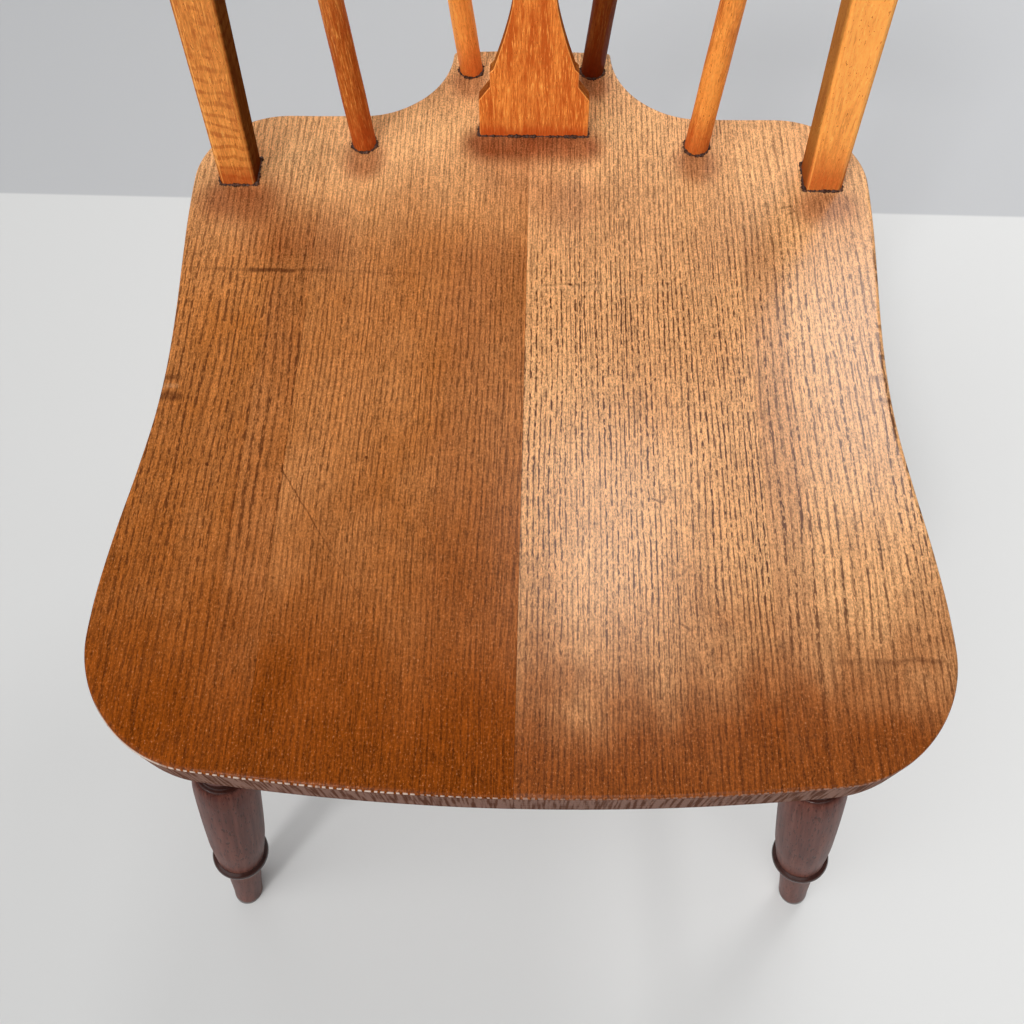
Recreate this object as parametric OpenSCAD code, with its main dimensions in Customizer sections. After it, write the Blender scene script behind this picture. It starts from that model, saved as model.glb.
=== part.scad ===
// Fiddle-back Windsor side chair: plank seat with a bobtail, square stiles,
// turned sticks, two brace sticks, a shaped splat, a curved crest rail,
// four turned legs with a ring above each foot, and an H stretcher.
// Millimetres, +Z up, floor at z = 0, front edge of the seat towards -Y.
// Left and right are named as seen by someone facing the chair.

/* [Seat] */
// Greatest width of the seat, a little behind its front edge
seat_w = 421; // [350:1:510]
// Depth from the middle of the front edge to the back edge
seat_d = 420; // [350:1:504]
// Height of the seat's top face above the floor
seat_h = 440; // [400:1:528]
// Thickness of the seat boards
seat_t = 29; // [25:1:40]
// Distance of the outer glue joints from the middle of the seat
joint_x = 125; // [118:1:132]
// How far each side draws in between the front and the back corners
waist_in = 12.5; // [0:0.5:20]
// How far the back corners stand in from the greatest width, each side
back_in = 6; // [0:0.5:15]
// How far the front edge bows forward of its corners
front_bow = 9; // [2:0.5:16]
// Size of the front corners' rounding along X
front_corner_x = 62; // [40:1:70]
// Size of the front corners' rounding along Y
front_corner_y = 69; // [50:1:85]
// Size of the back corners' rounding
back_corner = 52; // [30:1:58]
// Width of the tail at its end
tail_w = 102; // [98:1:124]
// How far the tail reaches behind the back edge
tail_reach = 58; // [54:1:70]
// Gap filled by glue between two boards
glue_gap = 0.1; // [0.05:0.05:0.2]

/* [Back] */
// Distance of each stile in from the seat's greatest width, each side
stile_side_in = 34; // [30.5:0.5:40.5]
// How much each stile spreads sideways on its way to the crest rail
stile_splay = 3; // [-4.5:0.5:12]
// Width of a stile at the seat
stile_w = 22.5; // [18.5:0.5:27]
// Depth of a stile at the seat
stile_d = 21; // [18:0.5:26]
// Width of a stile under the crest rail
stile_top_w = 25; // [20:0.5:27]
// Chamfer along the edges of a stile
stile_chamfer = 2.5; // [1:0.5:4]
// How far the stiles stand in front of the seat's back edge
stile_in = 48; // [42:1:58]
// Lean of the back from the vertical, in degrees
back_lean = 12.5; // [8:0.5:15]
// Length of the back between the seat and the crest rail
back_len = 360; // [310:1:432]
// Distance of each outer stick from the middle, at the seat
stick_x = 102.5; // [96:0.5:108]
// Distance of each outer stick from the middle, under the crest rail
stick_top_x = 134; // [126:1:142]
// How far the outer sticks stand in front of the seat's back edge
stick_in = 24; // [18:1:30]
// Distance of each brace stick from the middle, at the tail
brace_x = 39; // [36:0.5:40]
// Distance of each brace stick from the middle, under the crest rail
brace_top_x = 73; // [64:1:84]
// How far the brace sticks stand behind the seat's back edge
brace_out = 41; // [38:1:44]
// Diameter of a stick at the seat
stick_dia = 14.6; // [12:0.2:17.6]
// Diameter of a stick under the crest rail
stick_top_dia = 12.4; // [10:0.2:14]

/* [Splat] */
// Width of the splat's foot
splat_foot_w = 67; // [56:1:72]
// Width of the splat's neck
splat_neck_w = 22; // [18:1:30]
// Width of the splat's blade above the neck
splat_blade_w = 60; // [44:1:70]
// Thickness of the splat
splat_t = 11; // [9:0.5:13]
// How far the splat's middle stands in front of the seat's back edge
splat_in = 11; // [8:1:16]
// How far the splat was fitted to the right of the seat's middle
splat_x = 2.2; // [-4:0.1:4]

/* [Crest rail] */
// How far the crest rail's ends reach past the middle of the stiles
crest_overhang = 26.5; // [22:0.5:40]
// Height of the crest rail in the middle
crest_h = 74; // [60:1:88]
// Height of the crest rail at its ends
crest_end_h = 58; // [50:1:58]
// Thickness of the crest rail
crest_t = 21; // [17.5:0.5:25]
// How far the crest rail's middle lies behind the stiles
crest_sag = 32; // [20:1:40]

/* [Legs] */
// Distance of a front leg in from the seat's greatest width, under the seat
leg_front_side_in = 55; // [46:0.5:62.5]
// How far a front foot stands outward of its leg's top
foot_front_splay = 72; // [50:0.5:90]
// Distance of a front leg behind the front edge, under the seat
leg_front_y = 53; // [46:1:64]
// Distance of a front foot behind the front edge, on the floor
foot_front_y = 5.5; // [-10:0.5:16]
// How far the left front foot stands forward, and the right one back
foot_skew = 5.5; // [0:0.5:10]
// Distance of a rear leg in from the seat's greatest width, under the seat
leg_rear_side_in = 64.5; // [58:0.5:70]
// How far a rear foot stands outward of its leg's top
foot_rear_splay = 50; // [30:1:66]
// Distance of a rear leg in front of the back edge, under the seat
leg_rear_in = 86; // [80:1:96]
// Distance of a rear foot in front of the back edge, on the floor
foot_rear_in = 2; // [-10:1:20]
// Radius of a leg at its foot
foot_r = 11.2; // [9.5:0.1:13]
// Radius of the thick part of a leg
leg_r = 19.8; // [17:0.1:24]
// Radius of the ring above the foot
ring_r = 20.2; // [18:0.1:26]
// Height of the ring's middle, measured along the leg
ring_s = 121; // [105:1:146]
// Height of the shoulder above the thick part, along the leg
shoulder_s = 279; // [250:1:290]

/* [Stretchers] */
// Height of the stretchers above the floor
stretcher_h = 208; // [190:1:225]
// Radius of a stretcher where it enters a leg
stretcher_end_r = 7.5; // [6.5:0.5:9]
// Radius of a stretcher at its middle
stretcher_mid_r = 12.5; // [11:0.5:15]

/* [Joinery] */
// Gap filled by glue around each round tenon
tenon_fit = 0.08; // [0.05:0.01:0.15]
// Gap filled by glue under each shoulder
shoulder_gap = 0.1; // [0.05:0.05:0.2]
// Radius of the round tenons on the stiles
stile_tenon_r = 8; // [6:0.5:9]
// Depth of the tenons in the seat's top face
top_tenon = 17; // [14:0.5:18]
// Radius of the round tenons on the legs
leg_tenon_r = 12; // [10:0.2:14.4]
// Depth of the legs' tenons in the seat's underside
leg_tenon = 19; // [15:0.5:20]
// Depth of the tenons in the crest rail
crest_tenon = 24; // [16:1:28]
// Radius of the stiles' round tenons in the crest rail
crest_tenon_r = 7; // [5:0.1:8]

/* [Hidden] */
$fn = 64;
end_gap = 0.6;
big = 900;

// The chair is drawn with y = 0 at the front edge, then moved so that the
// origin lies on the floor under the middle of its front-to-back extent.
seat_under = seat_h - seat_t;
side_x = seat_w / 2;
stile_x = side_x - stile_side_in;
stile_top_x = stile_x + stile_splay;
crest_len = 2 * (stile_top_x + crest_overhang);
leg_front_x = side_x - leg_front_side_in;
foot_front_x = leg_front_x + foot_front_splay;
leg_rear_x = side_x - leg_rear_side_in;
foot_rear_x = leg_rear_x + foot_rear_splay;
waist_y = 0.535 * seat_d;
front_flat_x = side_x - front_corner_x;
front_side_y = front_bow * pow(side_x / front_flat_x, 2) + front_corner_y;
back_side_x = side_x - back_in;
back_flat_x = back_side_x - back_corner;
back_side_y = seat_d - back_corner;
tail_x = tail_w / 2;
tail_y = seat_d + tail_reach;
cove_rx = tail_reach - 2;

// Curve that eases from 0 to 1.
function ease(u) = (1 - cos(180 * u)) / 2;

// Right half of the seat's outline, from the front middle to the tail.
front_pts = [for (i = [0:11])
    let (x = i / 12 * front_flat_x)
    [x, front_bow * pow(x / front_flat_x, 2)]];
corner_pts = [for (i = [0:15])
    let (a = 90 * i / 16, x = front_flat_x + front_corner_x * sin(a))
    [x, front_bow * pow(x / front_flat_x, 2) + front_corner_y * (1 - cos(a))]];
waist_pts = [for (i = [0:11])
    let (u = i / 12)
    [side_x - waist_in * ease(u),
     front_side_y + (waist_y - front_side_y) * u]];
flank_pts = [for (i = [0:9])
    let (u = i / 10)
    [side_x - waist_in + (waist_in - back_in) * ease(u),
     waist_y + (back_side_y - waist_y) * u]];
back_pts = [for (i = [0:12])
    let (a = 90 * i / 12)
    [back_flat_x + back_corner * cos(a),
     back_side_y + back_corner * sin(a)]];
cove_pts = [for (i = [0:14])
    let (a = 90 * i / 14)
    [tail_x + cove_rx * (1 - sin(a)),
     tail_y - tail_reach * cos(a)]];
half_pts = concat(front_pts, corner_pts, waist_pts, flank_pts,
    back_pts, cove_pts, [[0, tail_y + 1.5]]);
mirror_pts = [for (i = [len(half_pts) - 2:-1:1])
    [-half_pts[i][0], half_pts[i][1]]];
outline_pts = concat(half_pts, mirror_pts);

// The back's own plane: its origin is on the seat between the stiles.
stile_y = seat_d - stile_in;
crest_r = (pow(stile_top_x, 2) + pow(crest_sag, 2)) / (2 * crest_sag);
crest_cy = crest_sag - crest_r;

// Middle line of the crest rail, behind the stiles, at a distance x.
function crest_y(x) = crest_cy + sqrt(pow(crest_r, 2) - x * x);

// A point of the back's plane, given in the chair's own directions.
function back_pt(x, y, z) = [x,
    stile_y + y * cos(back_lean) + z * sin(back_lean),
    seat_h + z * cos(back_lean) - y * sin(back_lean)];

// Foot on the seat and head under the crest rail of each upright.
function stile_foot(s) = [s * stile_x, stile_y, seat_h];
function stile_head(s) = back_pt(s * stile_top_x, crest_y(stile_top_x), back_len);
function stick_foot(s) = [s * stick_x, seat_d - stick_in, seat_h];
function stick_head(s) = back_pt(s * stick_top_x, crest_y(stick_top_x), back_len);
function brace_foot(s) = [s * brace_x, seat_d + brace_out, seat_h];
function brace_head(s) = back_pt(s * brace_top_x, crest_y(brace_top_x), back_len);

// Foot on the floor and top at the seat's underside of each leg.
function front_foot(s) = [s * foot_front_x, foot_front_y + s * foot_skew, 0];
function front_top(s) = [s * leg_front_x, leg_front_y, seat_under];
function rear_foot(s) = [s * foot_rear_x, seat_d - foot_rear_in, 0];
function rear_top(s) = [s * leg_rear_x, seat_d - leg_rear_in, seat_under];

// Point of the line from p to q at height z.
function at_z(p, q, z) = p + (q - p) * ((z - p[2]) / (q[2] - p[2]));
function front_joint(s) = at_z(front_foot(s), front_top(s), stretcher_h);
function rear_joint(s) = at_z(rear_foot(s), rear_top(s), stretcher_h);
function side_middle(s) = (front_joint(s) + rear_joint(s)) / 2;

// The splat leans so that it meets the crest rail in its middle.
splat_y = seat_d - splat_in;
splat_head = back_pt(0, crest_y(0), back_len);
splat_vec = splat_head - [0, splat_y, seat_h];
splat_lean = atan2(splat_vec[1], splat_vec[2]);
splat_len = norm(splat_vec);
splat_tenon_w = 0.7 * splat_foot_w;
splat_tenon_t = splat_t - 3.5;
splat_top_w = 2 * 0.45 * splat_blade_w;

// Front-most and rear-most points, for the place of the origin.
foot_vec = front_top(-1) - front_foot(-1);
foot_reach = foot_r * sqrt(1 + pow(foot_vec[1] / foot_vec[2], 2));
front_most = foot_front_y - foot_skew - foot_reach;
rear_most = back_pt(0, crest_y(0) + crest_t / 2, back_len + crest_h)[1];
origin_y = (front_most + rear_most) / 2;

// Places its children so that their +Z runs from p towards q.
module along(p, q) {
    v = q - p;
    az = atan2(v[1], v[0]);
    tilt = acos(v[2] / norm(v));
    translate(p)
        rotate([0, tilt, az])
            children();
}

// Places its children in the back's own plane.
module in_back() {
    translate([0, stile_y, seat_h])
        rotate([-back_lean, 0, 0])
            children();
}

// Puts the chair's drawing place over the origin.
module placed() {
    translate([0, -origin_y, 0])
        children();
}

// Everything above the seat's top face.
module above_seat() {
    translate([-big / 2, -big / 2, seat_h + shoulder_gap])
        cube([big, 2 * big, big]);
}

// Everything below the crest rail's lower face.
module below_crest() {
    in_back()
        translate([-big / 2, -big / 2, -big])
            cube([big, big, big + back_len - shoulder_gap]);
}

// Everything above the floor.
module above_floor() {
    translate([-big / 2, -big / 2, 0])
        cube([big, 2 * big, big]);
}

// ---- Sockets: each is its tenon made larger by the glue gap ----

module stile_tenon(s, grow, tip) {
    along(stile_foot(s), stile_head(s))
        translate([0, 0, -top_tenon - tip])
            cylinder(h = top_tenon + tip + 6, r = stile_tenon_r + grow);
}

module stile_head_tenon(s, grow, tip) {
    along(stile_head(s), 2 * stile_head(s) - stile_foot(s))
        translate([0, 0, -8])
            cylinder(h = crest_tenon + tip + 8, r = crest_tenon_r + grow);
}

// A stick enters the seat and the rail at its full thickness there.
module stick_seat_socket(foot, head) {
    along(foot, head)
        rotate([0, 0, 60])
            translate([0, 0, -top_tenon - end_gap])
                cylinder(h = top_tenon + end_gap + 6, r = stick_dia / 2 + tenon_fit);
}

module stick_crest_socket(foot, head) {
    along(head, 2 * head - foot)
        rotate([0, 0, 60])
            translate([0, 0, -8])
                cylinder(h = crest_tenon + end_gap + 8, r = stick_top_dia / 2 + tenon_fit);
}

module leg_socket(foot, top) {
    along(top, 2 * top - foot)
        rotate([0, 0, 60])
            translate([0, 0, -12])
                cylinder(h = leg_tenon + end_gap + 12, r = leg_tenon_r + tenon_fit);
}

module splat_place() {
    translate([splat_x, splat_y, seat_h])
        rotate([-splat_lean, 0, 0])
            children();
}

module splat_foot_tenon(grow, tip) {
    splat_place()
        translate([-splat_tenon_w / 2 - grow, -splat_tenon_t / 2 - grow,
                -top_tenon - tip])
            cube([splat_tenon_w + 2 * grow, splat_tenon_t + 2 * grow,
                top_tenon + tip + 4]);
}

module splat_head_tenon(grow, tip) {
    splat_place()
        translate([-splat_top_w / 2 + 8 - grow, -splat_tenon_t / 2 - grow,
                splat_len - 4])
            cube([splat_top_w - 16 + 2 * grow, splat_tenon_t + 2 * grow,
                crest_tenon * 0.6 + tip + 4]);
}

// ---- Seat ----

module seat_sockets() {
    for (s = [-1, 1]) {
        stile_tenon(s, tenon_fit, end_gap);
        stick_seat_socket(stick_foot(s), stick_head(s));
        stick_seat_socket(brace_foot(s), brace_head(s));
        leg_socket(front_foot(s), front_top(s));
        leg_socket(rear_foot(s), rear_top(s));
    }
    splat_foot_tenon(tenon_fit, end_gap);
}

// The part of the seat between x = a and x = b.
module seat_board(a, b) {
    placed()
        difference() {
            translate([0, 0, seat_under])
                linear_extrude(height = seat_t)
                    intersection() {
                        polygon(outline_pts);
                        translate([a, -50])
                            square([b - a, seat_d + tail_reach + 100]);
                    }
            seat_sockets();
        }
}

module seat_board_outer_left() {
    color("#a4602b")
        seat_board(-side_x - 5, -joint_x - glue_gap / 2);
}

module seat_board_inner_left() {
    color("#b0703a")
        seat_board(-joint_x + glue_gap / 2, -glue_gap / 2);
}

module seat_board_inner_right() {
    color("#bd8049")
        seat_board(glue_gap / 2, joint_x - glue_gap / 2);
}

module seat_board_outer_right() {
    color("#c08550")
        seat_board(joint_x + glue_gap / 2, side_x + 5);
}

// ---- Uprights ----

// Section of a stile with chamfered edges, made a little over length.
module stile_bar(w, d, c, len) {
    linear_extrude(height = len)
        polygon([[-w / 2 + c, -d / 2], [w / 2 - c, -d / 2],
            [w / 2, -d / 2 + c], [w / 2, d / 2 - c],
            [w / 2 - c, d / 2], [-w / 2 + c, d / 2],
            [-w / 2, d / 2 - c], [-w / 2, -d / 2 + c]]);
}

// Square to the front: the bar's sides stay along X while it leans.
module stile_place(s) {
    v = stile_head(s) - stile_foot(s);
    translate(stile_foot(s))
        rotate([-atan2(v[1], v[2]), 0, 0])
            rotate([0, atan2(v[0], norm([v[1], v[2]])), 0])
                children();
}

// A bar that widens over its lowest part, then runs on at that width.
module stile(s) {
    len = norm(stile_head(s) - stile_foot(s));
    placed()
        union() {
            intersection() {
                stile_place(s)
                    union() {
                        hull() {
                            translate([0, 0, -8])
                                stile_bar(stile_w, stile_d, stile_chamfer, 1);
                            translate([0, 0, 120])
                                stile_bar(stile_top_w, stile_d, stile_chamfer, 1);
                        }
                        translate([0, 0, 121])
                            stile_bar(stile_top_w, stile_d, stile_chamfer, len - 110);
                    }
                above_seat();
                below_crest();
            }
            stile_tenon(s, 0, 0);
            stile_head_tenon(s, 0, 0);
        }
}

module stile_left() {
    color("#b8702f")
        stile(-1);
}

module stile_right() {
    color("#c88541")
        stile(1);
}

// A turned stick: straight at the seat, then tapering to its head.
module turned_stick(foot, head) {
    len = norm(head - foot);
    r0 = stick_dia / 2;
    r1 = stick_top_dia / 2;
    placed()
        along(foot, head)
            rotate_extrude()
                polygon([[0, -top_tenon], [r0, -top_tenon], [r0, 30],
                    [r1, len - 30], [r1, len + crest_tenon],
                    [0, len + crest_tenon]]);
}

module stick_left() {
    color("#b56528")
        turned_stick(stick_foot(-1), stick_head(-1));
}

module stick_right() {
    color("#bd6c2b")
        turned_stick(stick_foot(1), stick_head(1));
}

module brace_stick_left() {
    color("#a95a24")
        turned_stick(brace_foot(-1), brace_head(-1));
}

module brace_stick_right() {
    color("#7c3a1c")
        turned_stick(brace_foot(1), brace_head(1));
}

// Half width of the splat at a distance u above the seat.
function splat_half(u) =
    u < 84 ? splat_neck_w / 2 + 1.2 + (splat_foot_w / 2 - 10 - splat_neck_w / 2 - 1.2)
        * pow((84 - u) / 38, 1.8)
    : u < 104 ? splat_neck_w / 2 + 1.2 * pow((104 - u) / 20, 2)
    : u < 224 ? splat_neck_w / 2 + (splat_blade_w - splat_neck_w) / 2 * ease((u - 104) / 120)
    : splat_blade_w / 2 - (splat_blade_w - splat_top_w) / 2
        * ease(min(1, (u - 224) / (splat_len - 224)));

splat_pts = concat([[splat_foot_w / 2, -8], [splat_foot_w / 2, 27],
    [splat_foot_w / 2 - 8.5, 39.5], [splat_foot_w / 2 - 9.2, 46]],
    [for (u = [50:5:84]) [splat_half(u), u]],
    [for (u = [89:5:104]) [splat_half(u), u]],
    [for (i = [1:22]) let (u = 104 + i * (splat_len - 104) / 22) [splat_half(u), u]],
    [[splat_top_w / 2, splat_len + 12]]);
splat_left_pts = [for (i = [len(splat_pts) - 1:-1:0])
    [-splat_pts[i][0], splat_pts[i][1]]];

module splat() {
    color("#b9652a")
        placed()
            union() {
                intersection() {
                    splat_place()
                        translate([0, splat_t / 2, 0])
                            rotate([90, 0, 0])
                                linear_extrude(height = splat_t)
                                    polygon(concat(splat_pts, splat_left_pts));
                    above_seat();
                    below_crest();
                }
                splat_foot_tenon(0, 0);
                splat_head_tenon(0, 0);
            }
}

// ---- Crest rail ----

crest_top_r = (pow(crest_len / 2, 2) + pow(crest_h - crest_end_h, 2))
    / (2 * (crest_h - crest_end_h));
crest_end_r = 14;

// Front view of the crest rail: a flat lower edge and an arched top.
module crest_face() {
    intersection() {
        union() {
            translate([-crest_len / 2, 0])
                square([crest_len, crest_end_h - crest_end_r]);
            translate([-crest_len / 2 + crest_end_r, 0])
                square([crest_len - 2 * crest_end_r, crest_h + 1]);
            for (s = [-1, 1])
                translate([s * (crest_len / 2 - crest_end_r), crest_end_h - crest_end_r])
                    circle(r = crest_end_r);
        }
        translate([0, crest_h - crest_top_r])
            circle(r = crest_top_r, $fn = 720);
    }
}

module crest_rail() {
    color("#b46a2e")
        placed()
            difference() {
                in_back()
                    translate([0, 0, back_len])
                        intersection() {
                            translate([0, crest_cy, -1])
                                difference() {
                                    cylinder(h = crest_h + 2, r = crest_r + crest_t / 2, $fn = 720);
                                    translate([0, 0, -1])
                                        cylinder(h = crest_h + 4, r = crest_r - crest_t / 2, $fn = 720);
                                }
                            translate([0, crest_sag + crest_t, 0])
                                rotate([90, 0, 0])
                                    linear_extrude(height = crest_sag + 3 * crest_t)
                                        crest_face();
                        }
                for (s = [-1, 1]) {
                    stile_head_tenon(s, tenon_fit, end_gap);
                    stick_crest_socket(stick_foot(s), stick_head(s));
                    stick_crest_socket(brace_foot(s), brace_head(s));
                }
                splat_head_tenon(tenon_fit, end_gap);
            }
}

// ---- Legs ----

// Outline of a leg from the foot up: a taper, a ring, a long thick part
// with a shoulder, a neck, and an upper part that narrows to the seat.
function leg_pts(len) = [[0, -6], [foot_r, -6], [foot_r, 6],
    [foot_r + 2.2, ring_s - 5], [ring_r - 2.2, ring_s - 4.2],
    [ring_r - 0.6, ring_s - 2.6], [ring_r, ring_s],
    [ring_r - 0.6, ring_s + 2.6], [ring_r - 2.2, ring_s + 4.2],
    [leg_r - 2.6, ring_s + 5], [leg_r - 1.5, ring_s + 28],
    [leg_r - 0.4, ring_s + 58], [leg_r, ring_s + 114],
    [leg_r - 0.2, shoulder_s - 24], [leg_r - 1.2, shoulder_s - 8],
    [leg_r - 2.4, shoulder_s - 2], [leg_r - 3.6, shoulder_s],
    [leg_r - 7, shoulder_s + 0.6], [leg_r - 8, shoulder_s + 5],
    [leg_r - 7.2, shoulder_s + 11], [leg_r - 4, shoulder_s + 17],
    [leg_r - 2.6, shoulder_s + 34], [leg_r - 3.2, shoulder_s + 62],
    [leg_tenon_r, len - 12], [leg_tenon_r, len + leg_tenon],
    [0, len + leg_tenon]];

module stretcher_socket(joint, other) {
    along(joint, other)
        translate([0, 0, stretcher_end_gap - end_gap])
            cylinder(h = 40, r = stretcher_end_r + tenon_fit);
}

// Distance from the leg's middle line to a stretcher's end.
stretcher_end_gap = 4;
middle_end_gap = 3;
middle_tenon_r = 6;

module turned_leg(foot, top, joint, other) {
    len = norm(top - foot);
    placed()
        difference() {
            intersection() {
                along(foot, top)
                    rotate([0, 0, 60])
                        rotate_extrude()
                            polygon(leg_pts(len));
                above_floor();
            }
            stretcher_socket(joint, other);
        }
}

module leg_front_left() {
    color("#5a3a30")
        turned_leg(front_foot(-1), front_top(-1), front_joint(-1), rear_joint(-1));
}

module leg_front_right() {
    color("#5e3d31")
        turned_leg(front_foot(1), front_top(1), front_joint(1), rear_joint(1));
}

module leg_rear_left() {
    color("#5a3a30")
        turned_leg(rear_foot(-1), rear_top(-1), rear_joint(-1), front_joint(-1));
}

module leg_rear_right() {
    color("#5e3d31")
        turned_leg(rear_foot(1), rear_top(1), rear_joint(1), front_joint(1));
}

// ---- Stretchers ----

// A stretcher that swells from its ends towards its middle.
module turned_stretcher(p, q, end_r, mid_r, gap) {
    len = norm(q - p);
    half = len / 2;
    along(p, q)
        rotate_extrude()
            polygon([[0, gap], [end_r, gap], [end_r, 34],
                [mid_r - 1.2, half - 50], [mid_r, half - 20],
                [mid_r, half + 20], [mid_r - 1.2, half + 50],
                [end_r, len - 34], [end_r, len - gap], [0, len - gap]]);
}

module side_stretcher(s) {
    placed()
        difference() {
            turned_stretcher(front_joint(s), rear_joint(s), stretcher_end_r,
                stretcher_mid_r, stretcher_end_gap);
            along(side_middle(s), side_middle(-s))
                translate([0, 0, middle_end_gap - end_gap])
                    cylinder(h = 30, r = middle_tenon_r + tenon_fit);
        }
}

module stretcher_left() {
    color("#5a3a30")
        side_stretcher(-1);
}

module stretcher_right() {
    color("#5e3d31")
        side_stretcher(1);
}

module stretcher_middle() {
    color("#5c3b30")
        placed()
            turned_stretcher(side_middle(-1), side_middle(1), middle_tenon_r,
                stretcher_mid_r, middle_end_gap);
}

seat_board_outer_left();
seat_board_inner_left();
seat_board_inner_right();
seat_board_outer_right();
stile_left();
stile_right();
stick_left();
stick_right();
brace_stick_left();
brace_stick_right();
splat();
crest_rail();
leg_front_left();
leg_front_right();
leg_rear_left();
leg_rear_right();
stretcher_left();
stretcher_right();
stretcher_middle();
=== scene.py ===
"""Fiddle-back Windsor side chair: boards, bars, turnings and varnish built round its frame."""
import math

import bpy
import numpy as np
from bpy.props import FloatProperty, FloatVectorProperty, IntProperty, PointerProperty
from mathutils import Matrix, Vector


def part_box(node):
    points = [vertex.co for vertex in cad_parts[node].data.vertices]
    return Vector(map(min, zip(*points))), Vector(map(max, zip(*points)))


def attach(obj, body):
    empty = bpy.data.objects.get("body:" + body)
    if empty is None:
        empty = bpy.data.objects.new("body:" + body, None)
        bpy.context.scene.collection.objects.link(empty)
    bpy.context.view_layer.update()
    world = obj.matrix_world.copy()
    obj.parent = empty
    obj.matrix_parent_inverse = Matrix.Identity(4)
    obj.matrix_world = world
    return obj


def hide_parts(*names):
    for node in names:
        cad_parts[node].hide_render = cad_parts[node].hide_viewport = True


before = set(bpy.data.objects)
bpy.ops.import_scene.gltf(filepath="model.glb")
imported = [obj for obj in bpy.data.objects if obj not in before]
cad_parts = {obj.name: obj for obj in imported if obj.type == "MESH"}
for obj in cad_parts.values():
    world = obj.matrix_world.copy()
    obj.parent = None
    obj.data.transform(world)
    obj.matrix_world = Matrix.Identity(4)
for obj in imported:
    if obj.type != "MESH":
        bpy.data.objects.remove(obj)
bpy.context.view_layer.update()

bl_info = {
    "name": "Fiddle-Back Windsor Side Chair",
    "version": (1, 0, 0),
    "blender": (4, 5, 0),
    "location": "View3D > Sidebar > Chair",
    "description": "Shapes and varnishes a fiddle-back Windsor side chair around its frame",
    "category": "Add Mesh",
}

MM = 0.001

# Places that the frame gives, in millimetres. The chair is drawn with y = 0
# at the middle of the seat's front edge and z = 0 on the floor.
SEAT_LOW, SEAT_HIGH = (np.array(c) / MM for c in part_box("seat_board_inner_right"))
SEAT_TOP, SEAT_UNDER = SEAT_HIGH[2], SEAT_LOW[2]
FRONT_EDGE = SEAT_LOW[1]
TAIL_END = SEAT_HIGH[1] - FRONT_EDGE
JOINT_X = (SEAT_HIGH[0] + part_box("seat_board_outer_right")[0][0] / MM) / 2
JOINT_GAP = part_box("seat_board_outer_right")[0][0] / MM - SEAT_HIGH[0]
SIDE_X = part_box("seat_board_outer_right")[1][0] / MM
SEAT_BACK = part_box("seat_board_outer_right")[1][1] / MM - FRONT_EDGE
RAIL_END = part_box("crest_rail")[1][0] / MM

# Shape of the seat's edge.
FRONT_BOW, CORNER_X, CORNER_Y = 9.0, 58.0, 58.0
WAIST_IN, WAIST_Y, BACK_IN, BACK_CORNER = 12.5, 0.535, 6.0, 52.0
TAIL_X, TAIL_BOW, COVE_IN = 51.0, 1.5, 2.0

# The back leans behind the seat, in a plane that starts between the stiles.
STILE_X, STILE_Y = SIDE_X - 34.0, SEAT_BACK - 48.0
STILE_TOP_X = STILE_X + 3.0
STILE_WIDE, STILE_TOP_WIDE, STILE_FLARE, STILE_DEEP = 22.5, 25.0, 120.0, 21.0
STICK_X, STICK_TOP_X, STICK_Y = 102.5, 134.0, SEAT_BACK - 24.0
BRACE_X, BRACE_TOP_X, BRACE_Y = 39.0, 73.0, SEAT_BACK + 41.0
STICK_R, STICK_TOP_R, STICK_PLAIN = 7.3, 6.2, 30.0
SPLAT_X, SPLAT_Y, SPLAT_THICK = 2.2, SEAT_BACK - 11.0, 11.0
SPLAT_FOOT_HALF, SPLAT_NECK_HALF, SPLAT_BLADE_HALF = 33.5, 11.0, 30.0
LEAN = math.radians(12.5)
BACK_LEN = 360.0
RAIL_SAG, RAIL_THICK, RAIL_HIGH, RAIL_END_HIGH, RAIL_END_R = 32.0, 21.0, 74.0, 58.0, 14.0
RAIL_R = (STILE_TOP_X ** 2 + RAIL_SAG ** 2) / (2 * RAIL_SAG)
RAIL_MID = RAIL_SAG - RAIL_R


def rail_y(x):
    """Middle line of the crest rail: the rail's circle, seen from above, behind the stiles."""
    return RAIL_MID + np.sqrt(RAIL_R ** 2 - x * x)


def back_point(x, y, z):
    """Turns a point of the leaning back plane into the chair's own directions."""
    return np.stack(np.broadcast_arrays(
        x, STILE_Y + y * math.cos(LEAN) + z * math.sin(LEAN),
        SEAT_TOP + z * math.cos(LEAN) - y * math.sin(LEAN)), -1).astype(float)


RAIL_NORMAL = np.array([0, math.sin(LEAN), math.cos(LEAN)])
RAIL_FOOT = float(back_point(0, 0, BACK_LEN) @ RAIL_NORMAL)
SIDES = {"left": -1, "right": 1}


def head(side, x):
    """Middle of an upright's head, x millimetres to one side, at the underside of the crest rail."""
    return back_point(side * x, rail_y(x), BACK_LEN)


UPRIGHTS = {f"{kind}_{word}": (np.array([side * foot_x, foot_y, SEAT_TOP]), head(side, head_x))
            for word, side in SIDES.items()
            for kind, foot_x, foot_y, head_x in (("stile", STILE_X, STILE_Y, STILE_TOP_X),
                                                 ("stick", STICK_X, STICK_Y, STICK_TOP_X),
                                                 ("brace_stick", BRACE_X, BRACE_Y, BRACE_TOP_X))}
SPLAT_FOOT = np.array([SPLAT_X, SPLAT_Y, SEAT_TOP])
SPLAT_HEAD = back_point(SPLAT_X, rail_y(0.0), BACK_LEN)

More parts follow.
